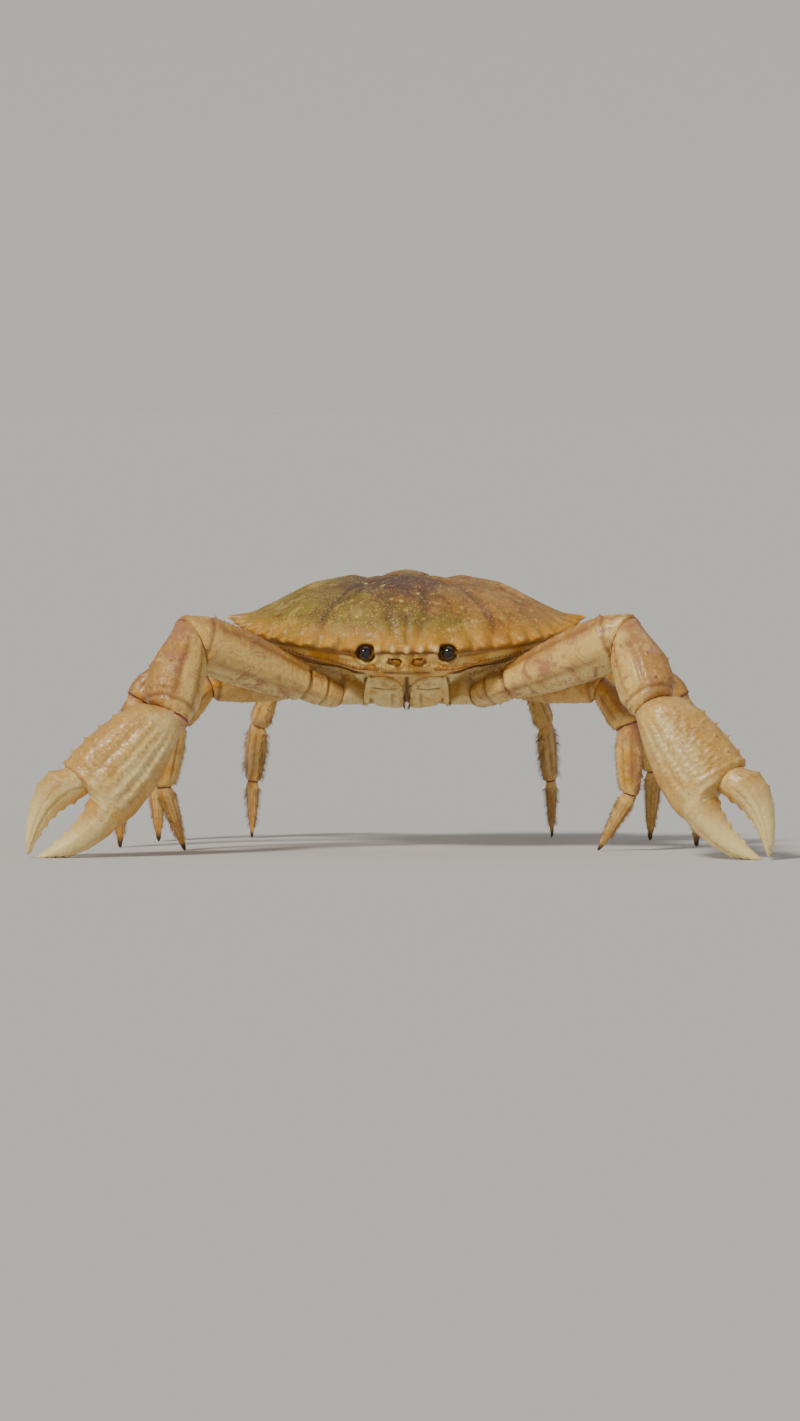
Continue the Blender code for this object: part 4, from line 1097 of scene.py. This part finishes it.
def dress_palm(name):
    palm, carpus = f"{name}_palm", f"{name}_carpus"
    joint = joint_between(palm, carpus, CLAW_SIDES)
    start, tip = joint[0], Vector(min(solid_points(palm), key=lambda p: p[2]))
    piece = with_head(copy_of(palm, palm + "_shell"), joint, skin_size=CLAW_SKIN)
    remesh(piece, PALM_VOXEL, 6)
    share, level, _ = limb_measures(piece, start, tip)
    body = smooth_step(share, 0.05, 0.14) * smooth_step(share, 0.56, 0.46)
    lift, hollow_shade = np.zeros(len(share)), np.zeros(len(share))
    for count, height in enumerate(PALM_RIDGES):
        beads = 0.25 + 0.75 * np.maximum(np.sin(share * 200 + count * 2.1), 0)
        lift += 0.00085 * bell(level, height, 0.050) * body * beads
        lift -= 0.00024 * bell(level, height - 0.14, 0.06) * body
        # Painted shade below each ridge and in the finger groove.
        hollow_shade = np.maximum(hollow_shade, 0.45 * bell(level, height - 0.14, 0.05) * body)
    lip = bell(share, FINGER_START - 0.030, 0.014) * smooth_step(level, -0.2, 0.1)
    lift += 0.0008 * lip
    fingers = smooth_step(share, 0.60, 0.68)
    lift -= 0.0005 * bell(level, -0.45, 0.13) * fingers
    hollow_shade = np.maximum(hollow_shade, 0.35 * bell(level, -0.45, 0.12) * fingers)
    carve_limb(piece, lift, -0.00026, share, level, hollow_shade)
    place(piece, finishes["claw"], "claw", palm)
    return start, tip


# %% Movable finger
def dress_finger(name, wrist, palm_tip):
    node = f"{name}_finger"
    joint = end_nearest(node, wrist, (palm_tip - wrist).normalized(), CLAW_SIDES)
    hinge, end = joint[0], Vector(min(solid_points(node), key=lambda p: p[2]))
    piece = with_head(copy_of(node, node + "_shell"), joint, 0.96, 0.62, CLAW_SKIN)
    remesh(piece, FINGER_VOXEL, 6)
    share, level, _ = limb_measures(piece, hinge, end)
    middle = smooth_step(share, 0.08, 0.2)
    grooves = bell(level, 0.45, 0.10) + bell(level, -0.10, 0.10)
    lift, hollow_shade = -0.0005 * grooves * middle, 0.35 * grooves * middle
    carve_limb(piece, lift, -0.00024, 0.58 + 0.42 * share, level, hollow_shade)
    place(piece, finishes["claw"], "claw", node)


for side in ("left", "right"):
    dress_arm(f"{side}_claw")
    wrist, palm_tip = dress_palm(f"{side}_claw")
    dress_finger(f"{side}_claw", wrist, palm_tip)

# %% [markdown]
# ## Skin in the joints
#
# Between two segments a crab has soft, folded skin, which shows as a dark pink line. The rings
# gathered above are joined to one piece.

# %% Joint skin
weld(*skins)
skins[0].data.shade_smooth()
place(skins[0], finishes["membrane"], "leg")
print("joint skins:", len(skins))

# %% [markdown]
# ## Underside
#
# The breastplate is divided by grooves between the legs, and the narrow tail folds forward over
# it. Both are carved from their remeshed solids. The flanks take some of the shell's tan, painted
# shade darkens the grooves, and a dark painted shadow line follows the edge of the shell above
# them.

# %% Underside
BREAST_VOXEL, TAIL_VOXEL = 0.0008, 0.00045
STERNUM_GROOVES = (-0.140, -0.032, 0.068, 0.160)
TAIL_JOINTS = (0.262, 0.205, 0.155, 0.105, 0.055, 0.000)


def build_underside():
    piece = remesh(copy_of("thorax", "breast_shell"), BREAST_VOXEL, 4)
    local = to_shell(points(piece))
    x, y = np.abs(local[:, 0]), local[:, 1]
    below = smooth_step(-normals(piece)[:, 2], 0.2, 0.7)
    hollow_shade = np.zeros(len(x))
    for groove_y in STERNUM_GROOVES:
        slant = groove_y + 0.10 * (x - 0.1)
        hollow_shade = np.maximum(hollow_shade, bell(y, slant, 0.0055) * smooth_step(x, 0.03, 0.07))
    hollow_shade = np.maximum(hollow_shade, bell(x, 0, 0.005) * smooth_step(-y, 0.05, 0.09))
    hollow_shade *= below * smooth_step(x, 0.275, 0.235)
    push(piece, -0.0011 * hollow_shade)
    under_rim = local[:, 2] - PART_HEIGHT - y * math.tan(PART_TILT)
    # Painted shade in the grooves, and a painted shadow along the edge of the shell above.
    note(piece, "hollow_shade", np.maximum(hollow_shade, 0.7 * bell(under_rim, 0, 0.006)))
    note(piece, "flank", smooth_step(under_rim, -0.13, -0.01) * (1 - below))
    grain(piece, 0.0030, -0.00025)
    place(piece, finishes["underside"], "underside", "thorax")

    tail = remesh(copy_of("pleon", "folded_tail"), TAIL_VOXEL, 5)
    local = to_shell(points(tail))
    hollow_shade = np.zeros(len(local))
    for joint_y in TAIL_JOINTS:
        hollow_shade = np.maximum(hollow_shade, bell(local[:, 1], joint_y, 0.0045))
    push(tail, -0.0007 * hollow_shade)
    # The tail's joints get painted shade.
    note(tail, "hollow_shade", hollow_shade)
    place(tail, finishes["underside"], "underside", "pleon")
    return piece


breast = build_underside()

# %% [markdown]
# ## Eyes and feelers
#
# The eyes sit on short stalks in their sockets. A long feeler starts beside each eye from three
# stout joints, and a short one folds up out of its pit. Both are ringed like beads.

# %% Eyes and feelers
EYE_AIM = Vector((0.46, -0.82, 0.32)).normalized()
EYE_VOXEL, STEM_VOXEL, PLATE_VOXEL = 0.00020, 0.00025, 0.00034
FEELER_KINDS = (
    ("antenna", 46, ((0.0019, 0.0030), (0.0015, 0.0026), (0.0012, 0.0024))),
    ("antennule", 18, ((0.0017, 0.0026), (0.0013, 0.0022))),
)


def build_eye(side, sign):
    eye = copy_of(f"{side}_eye", f"{side}_eye_fine")
    rounder = eye.modifiers.new("rounder", "SUBSURF")
    rounder.levels = rounder.render_levels = 2
    apply_modifiers(eye)
    remesh(eye, EYE_VOXEL, 5)
    share = to_shell(points(eye)) @ np.array(EYE_AIM * Vector((sign, 1, 1)))
    share = (share - share.min()) / (share.max() - share.min())
    push(eye, -0.00022 * bell(share, 0.51, 0.025) + 0.00010 * bell(share, 0.46, 0.03))
    note(eye, "along", share)
    place(eye, finishes["eye"], "eye", f"{side}_eye")


def build_feeler(side, sign, kind, rings, base):
    """The ringed whip of a feeler, and the stout joints that it starts from."""
    whip = copy_of(f"{side}_{kind}", f"{side}_{kind}_ringed")
    finer = whip.modifiers.new("finer", "SUBSURF")
    finer.levels = finer.render_levels = 3
    apply_modifiers(whip)
    local = points(whip)
    root = local[np.argmin(np.abs(local[:, 0]))]
    away = np.linalg.norm(local - root, axis=1)
    push(whip, 0.00009 * np.sin(away / away.max() * rings * 2 * math.pi))
    whip.data.shade_smooth()
    heading = Vector(local[(away > 0.002) & (away < 0.006)].mean(axis=0)) - Vector(root)
    heading.normalize()
    place(whip, finishes["feeler"], "feeler", f"{side}_{kind}")
    start = Vector(root) - heading * 0.0008
    joints = []
    for radius, length in base:
        joints.append(bead("joint", start, start + heading * length * 1.25, radius))
        start = start + heading * length * 0.85
    weld(*joints)
    stem = remesh(joints[0], STEM_VOXEL, 2)
    stem.name = f"{side}_{kind}_base"
    place(stem, finishes["stem"], "feeler")


for side, sign in (("left", 1), ("right", -1)):
    build_eye(side, sign)
    for kind, rings, base in FEELER_KINDS:
        build_feeler(side, sign, kind, rings, base)

# %% [markdown]
# ## Mouth
#
# A pair of jointed plates closes the mouth like a double door. Each has a long lower part with a
# groove along it, a square upper part, a slim outer branch and a small hooked palp that folds down
# along the inner edge. The extra parts are eggs welded to the solid's copy before the remesh.

# %% Mouth plates
MOUTH_PLACE, MOUTH_LEAN = Vector((0, -0.262, -0.148)), math.radians(38)
MOUTH_HEIGHT, MOUTH_HALF_WIDTH = 0.132, 0.116
MOUTH_OUT = Vector((0, -math.cos(MOUTH_LEAN), -math.sin(MOUTH_LEAN)))
MOUTH_UP = Vector((0, -math.sin(MOUTH_LEAN), math.cos(MOUTH_LEAN)))


def on_mouth(sign, across, rise, out):
    """A place on the mouth: shares of its half width and height, and shell widths outwards."""
    offset = Vector((sign * across * MOUTH_HALF_WIDTH, 0, 0)) + MOUTH_UP * rise * MOUTH_HEIGHT
    return from_shell(MOUTH_PLACE + offset + MOUTH_OUT * out)


def build_mouth_plate(side, sign):
    plate = copy_of(f"{side}_maxilliped", f"{side}_mouth_plate")
    outward = SHELL.to_3x3() @ MOUTH_OUT
    branch = bead(
        "branch", on_mouth(sign, 0.98, -0.46, 0.010), on_mouth(sign, 0.90, 0.52, 0.010), 0.0016,
        0.8, outward,
    )
    palp = [
        bead("palp", on_mouth(sign, 0.52, 0.47, 0.016), on_mouth(sign, 0.20, 0.36, 0.020), 0.0016),
        bead("palp", on_mouth(sign, 0.24, 0.40, 0.020), on_mouth(sign, 0.13, 0.14, 0.021), 0.0014),
        bead("palp", on_mouth(sign, 0.14, 0.18, 0.021), on_mouth(sign, 0.11, -0.08, 0.020), 0.0011),
    ]
    weld(plate, branch, *palp)
    remesh(plate, PLATE_VOXEL, 4)
    local = to_shell(points(plate)) - np.array(MOUTH_PLACE)
    rise = local @ np.array(MOUTH_UP) / MOUTH_HEIGHT
    across = np.abs(local[:, 0]) / MOUTH_HALF_WIDTH
    out = local @ np.array(MOUTH_OUT)
    flat = smooth_step(out, 0.022, 0.018)
    waist = bell(rise, 0.155, 0.020) * smooth_step(across, 0.84, 0.78)
    groove = 0.6 * bell(across, 0.34, 0.06) * smooth_step(rise, 0.10, -0.05)
    groove *= smooth_step(rise, -0.50, -0.30)
    dent = bell(np.hypot(across - 0.52, (rise - 0.32) * 1.6), 0, 0.16)
    # These dips are pressed in and also get painted shade.
    hollow_shade = np.maximum.reduce((waist, groove, 0.5 * dent)) * flat
    push(plate, -0.0009 * hollow_shade)
    note(plate, "hollow_shade", hollow_shade)
    grain(plate, 0.0018, -0.00016)
    place(plate, finishes["mouth"], "underside", f"{side}_maxilliped")


for side, sign in (("left", 1), ("right", -1)):
    build_mouth_plate(side, sign)

# %% [markdown]
# ## Hair fringes
#
# Rows of short, stiff hairs edge each leg, the arms and the mouth, and short down grows on the
# ridges of the face and beside the mouth. Each hair is a thin three-sided spike. A coat is one
# joined mesh with its own map, where each hair has a small patch at its root's place on the
# unrolled limb or the flattened front.

# %% A coat of hairs
HAIR_SIDES, HAIR_DROOP = 3, 0.15
PATCH = 0.003


def build_coat(name, hairs, finish, record_slot):
    """One mesh of bent spikes. A hair is its root, direction, length, radius and map place."""
    corners, faces, maps = [], [], []
    for root, direction, length, radius, (u, v) in hairs:
        side = direction.orthogonal().normalized()
        other = direction.cross(side)
        first = len(corners)
        bend = Vector((0, 0, -HAIR_DROOP))
        for share, size in ((0.0, 1.0), (0.55, 0.7)):
            centre = root + (direction + bend * share) * length * share
            for corner in range(HAIR_SIDES):
                turn = 2 * math.pi * corner / HAIR_SIDES
                offset = side * math.cos(turn) + other * math.sin(turn)
                corners.append(centre + offset * radius * size)
        corners.append(root + (direction + bend) * length)
        faces.append((first + 2, first + 1, first))
        for corner in range(HAIR_SIDES):
            beside = (corner + 1) % HAIR_SIDES
            low_a, low_b = first + corner, first + beside
            faces.append((low_a, low_b, low_b + HAIR_SIDES, low_a + HAIR_SIDES))
            faces.append((low_a + HAIR_SIDES, low_b + HAIR_SIDES, first + 2 * HAIR_SIDES))
        patch = [(u + PATCH * (k % 3) / 2, v + PATCH * (k // 3) / 2) for k in range(7)]
        maps.extend([patch] * (1 + 2 * HAIR_SIDES))
    mesh = bpy.data.meshes.new(name)
    mesh.from_pydata(corners, [], faces)
    layer = mesh.uv_layers.new(name="OFBake")
    for polygon, patch in zip(mesh.polygons, maps):
        for loop in polygon.loop_indices:
            layer.data[loop].uv = patch[mesh.loops[loop].vertex_index % 7]
    piece = bpy.data.objects.new(name, mesh)
    bpy.context.scene.collection.objects.link(piece)
    return place(piece, finish, record_slot)


# %% Hairs along the limbs
EDGE_LEVEL, HAIR_RADIUS, DOWN_RADIUS = 0.80, 0.00009, 0.00007


def limb_hairs(node, tile, count, longest):
    """Hairs along the back and belly edges of a limb segment."""
    piece, start, end = segments[node]
    share, level, side = limb_measures(piece, start, end)
    places, facing = points(piece), normals(piece)
    along = (end - start).normalized()
    on_edge = (np.abs(level) > EDGE_LEVEL) & (share > 0.10) & (share < 0.93)
    edge = np.flatnonzero(on_edge & (places[:, 2] > 0.006)).tolist()
    hairs = []
    for index in random.sample(edge, min(count, len(edge))):
        direction = (Vector(facing[index]) * 0.8 + along * random.uniform(0.5, 0.9)).normalized()
        length = longest * random.uniform(0.5, 1.0)
        u = 0.03 + 0.92 * (math.atan2(side[index], level[index]) / (2 * math.pi) + 0.5)
        v = (tile + 0.05 + 0.88 * float(share[index])) / HAIRY_TILES
        root = Vector(places[index]) - Vector(facing[index]) * 0.0002
        hairs.append((root, direction, length, HAIR_RADIUS, (u, v)))
    return hairs


HAIRY = (
    ("merus", 90, 0.0015),
    ("carpus", 90, 0.0017),
    ("propodus", 280, 0.0024),
    ("dactyl", 340, 0.0022),
)
HAIRY_TILES = 4 * len(HAIRY) + 1
for side in ("left", "right"):
    hairs = []
    for leg in range(1, 5):
        for place_in_leg, (label, count, longest) in enumerate(HAIRY):
            tile = (leg - 1) * len(HAIRY) + place_in_leg
            more = 1.5 if leg == 4 else 1.0
            node = f"{side}_leg_{leg}_{label}"
            hairs += limb_hairs(node, tile, int(count * more), longest * more)
    hairs += limb_hairs(f"{side}_claw_arm", HAIRY_TILES - 1, 260, 0.0022)
    build_coat(f"{side}_limb_hair", hairs, finishes["hair"], "leg")
    print(side, "hairs:", len(hairs))

# %% Hairs round the mouth
MOUTH_EDGES = (
    ((0.06, -0.44, 0.017), (0.06, 0.10, 0.022), (-0.35, 0, 0.9), 90),
    ((0.10, 0.16, 0.022), (0.45, 0.46, 0.018), (-0.2, 0.5, 0.8), 70),
    ((1.02, -0.44, 0.006), (0.98, 0.46, 0.006), (0.8, 0, 0.6), 110),
    ((0.30, 0.50, 0.008), (0.86, 0.50, 0.006), (0, 0.8, 0.6), 60),
)


def mouth_hairs(sign):
    hairs = []
    for first, last, (sideways, upward, outward), count in MOUTH_EDGES:
        for _ in range(count):
            along = random.random()
            spot = Vector(first).lerp(Vector(last), along)
            spot += Vector([random.uniform(-0.02, 0.02) for _ in range(2)] + [0])
            direction = Vector((sign * sideways, 0, 0)) + MOUTH_UP * upward + MOUTH_OUT * outward
            direction += Vector([random.uniform(-0.35, 0.35) for _ in range(3)])
            direction = (SHELL.to_3x3() @ direction).normalized()
            root = on_mouth(sign, *spot) - direction * 0.0005
            u = 0.5 + sign * (0.04 + 0.42 * min(max(spot.x, 0), 1))
            v = 0.04 + 0.9 * (spot.y + 0.55) / 1.1
            hairs.append((root, direction, random.uniform(0.0014, 0.0028), HAIR_RADIUS, (u, v)))
    return hairs


build_coat("mouth_hair", mouth_hairs(1) + mouth_hairs(-1), finishes["hair"], "underside")

# %% Short down on the face and the breast
FACE_HAIRS = ((3, 0.85, 900), (6, 0.70, 900), (1, 0.80, 160))
BREAST_HAIRS = 1500


def short_hairs(piece, spots, count, map_height):
    """Short down on some of these points. The map is the piece's front, seen flat."""
    places, facing = points(piece), normals(piece)
    local = to_shell(places)
    hairs = []
    for index in random.sample(spots, min(count, len(spots))):
        out = Vector(facing[index])
        direction = out * 0.8 + Vector([random.uniform(-0.3, 0.3) for _ in range(3)])
        direction = (direction + Vector((0, 0, -0.35))).normalized()
        root = Vector(places[index]) - out * 0.0002
        u, v = 0.5 + float(local[index, 0]) * 0.98, 0.97 + float(local[index, 2]) * map_height
        hairs.append((root, direction, random.uniform(0.0007, 0.0015), DOWN_RADIUS, (u, v)))
    return hairs


def face_hairs():
    """Down along the ridges under the eyes and along the lower edge of the face."""
    local, facing = to_shell(points(carapace)), normals(carapace)
    x, y, z = np.abs(local[:, 0]), local[:, 1], local[:, 2]
    front = (facing[:, 2] < 0.3) & (y < -0.05) & (z < -0.03)
    hairs = []
    for line, near, count in FACE_HAIRS:
        path, width, _ = FACE_LINES[line]
        band = np.flatnonzero(front & (furrow(x, z, path, width * 1.6) > near)).tolist()
        hairs += short_hairs(carapace, band, count, 8)
    return hairs


def breast_hairs():
    """Down beside the mouth, between the face and the claw arms."""
    local, facing = to_shell(points(breast)), normals(breast)
    x, y, z = np.abs(local[:, 0]), local[:, 1], local[:, 2]
    beside = (facing[:, 1] < -0.2) & (x > 0.125) & (x < 0.34) & (y < -0.10) & (z > -0.19)
    return short_hairs(breast, np.flatnonzero(beside).tolist(), BREAST_HAIRS, 4)


build_coat("face_hair", face_hairs(), finishes["hair"], "shell")
build_coat("breast_hair", breast_hairs(), finishes["hair"], "underside")

# %% [markdown]
# ## Stage
#
# A plain pale floor and soft lights, as in a photographer's tent. Three broad suns light the floor
# evenly up to the horizon, and the sky has the floor's own tone there, so no line shows.

# %% Floor and light
bpy.ops.object.select_all(action="DESELECT")
bpy.ops.mesh.primitive_plane_add(size=300, location=(0, 0, 0))
floor = bpy.context.object
floor.name = "floor"
floor_finish = bpy.data.materials.new("pale_floor")
floor_finish.use_nodes = True
floor_shader = floor_finish.node_tree.nodes["Principled BSDF"]
floor_shader.inputs["Base Color"].default_value = (0.62, 0.61, 0.59, 1)
floor_shader.inputs["Roughness"].default_value = 0.9
floor_shader.inputs["Specular IOR Level"].default_value = 0.1
floor.data.materials.append(floor_finish)

LIGHTS = (
    ("key", (-0.60, -0.80, 1.0), 12, 2.7, (1.0, 0.95, 0.87)),
    ("fill", (0.9, -0.9, 0.35), 50, 0.20, (0.95, 0.97, 1.0)),
    ("back", (0.25, 0.7, 1.2), 50, 0.40, (1.0, 0.98, 0.95)),
)
for name, direction, softness, strength, colour in LIGHTS:
    light = bpy.data.lights.new(name, "SUN")
    light.angle = math.radians(softness)
    light.energy = strength
    light.color = colour
    lamp = bpy.data.objects.new(name, light)
    lamp.location = target + Vector(direction)
    lamp.rotation_euler = Vector(direction).to_track_quat("Z", "Y").to_euler()
    bpy.context.scene.collection.objects.link(lamp)

# %% Sky
world = bpy.data.worlds.new("studio")
bpy.context.scene.world = world
world.use_nodes = True
tree = world.node_tree
backdrop = tree.nodes["Background"]
parts = tree.nodes.new("ShaderNodeSeparateXYZ")
tree.links.new(tree.nodes.new("ShaderNodeTexCoord").outputs["Generated"], parts.inputs["Vector"])
rise = tree.nodes.new("ShaderNodeMapRange")
rise.inputs["From Min"].default_value = 0.0
rise.inputs["From Max"].default_value = 0.5
rise.interpolation_type = "SMOOTHSTEP"
tree.links.new(parts.outputs["Z"], rise.inputs["Value"])
sky = tree.nodes.new("ShaderNodeMix")
sky.data_type = "RGBA"
sky.inputs[6].default_value = (0.56, 0.54, 0.51, 1)
sky.inputs[7].default_value = (0.20, 0.205, 0.215, 1)
tree.links.new(rise.outputs["Result"], sky.inputs[0])
tree.links.new(sky.outputs[2], backdrop.inputs["Color"])
backdrop.inputs["Strength"].default_value = 1.0

# %% Finish
print("pieces:", len(made), "triangles:", sum(len(p.data.polygons) * 2 for p in made))
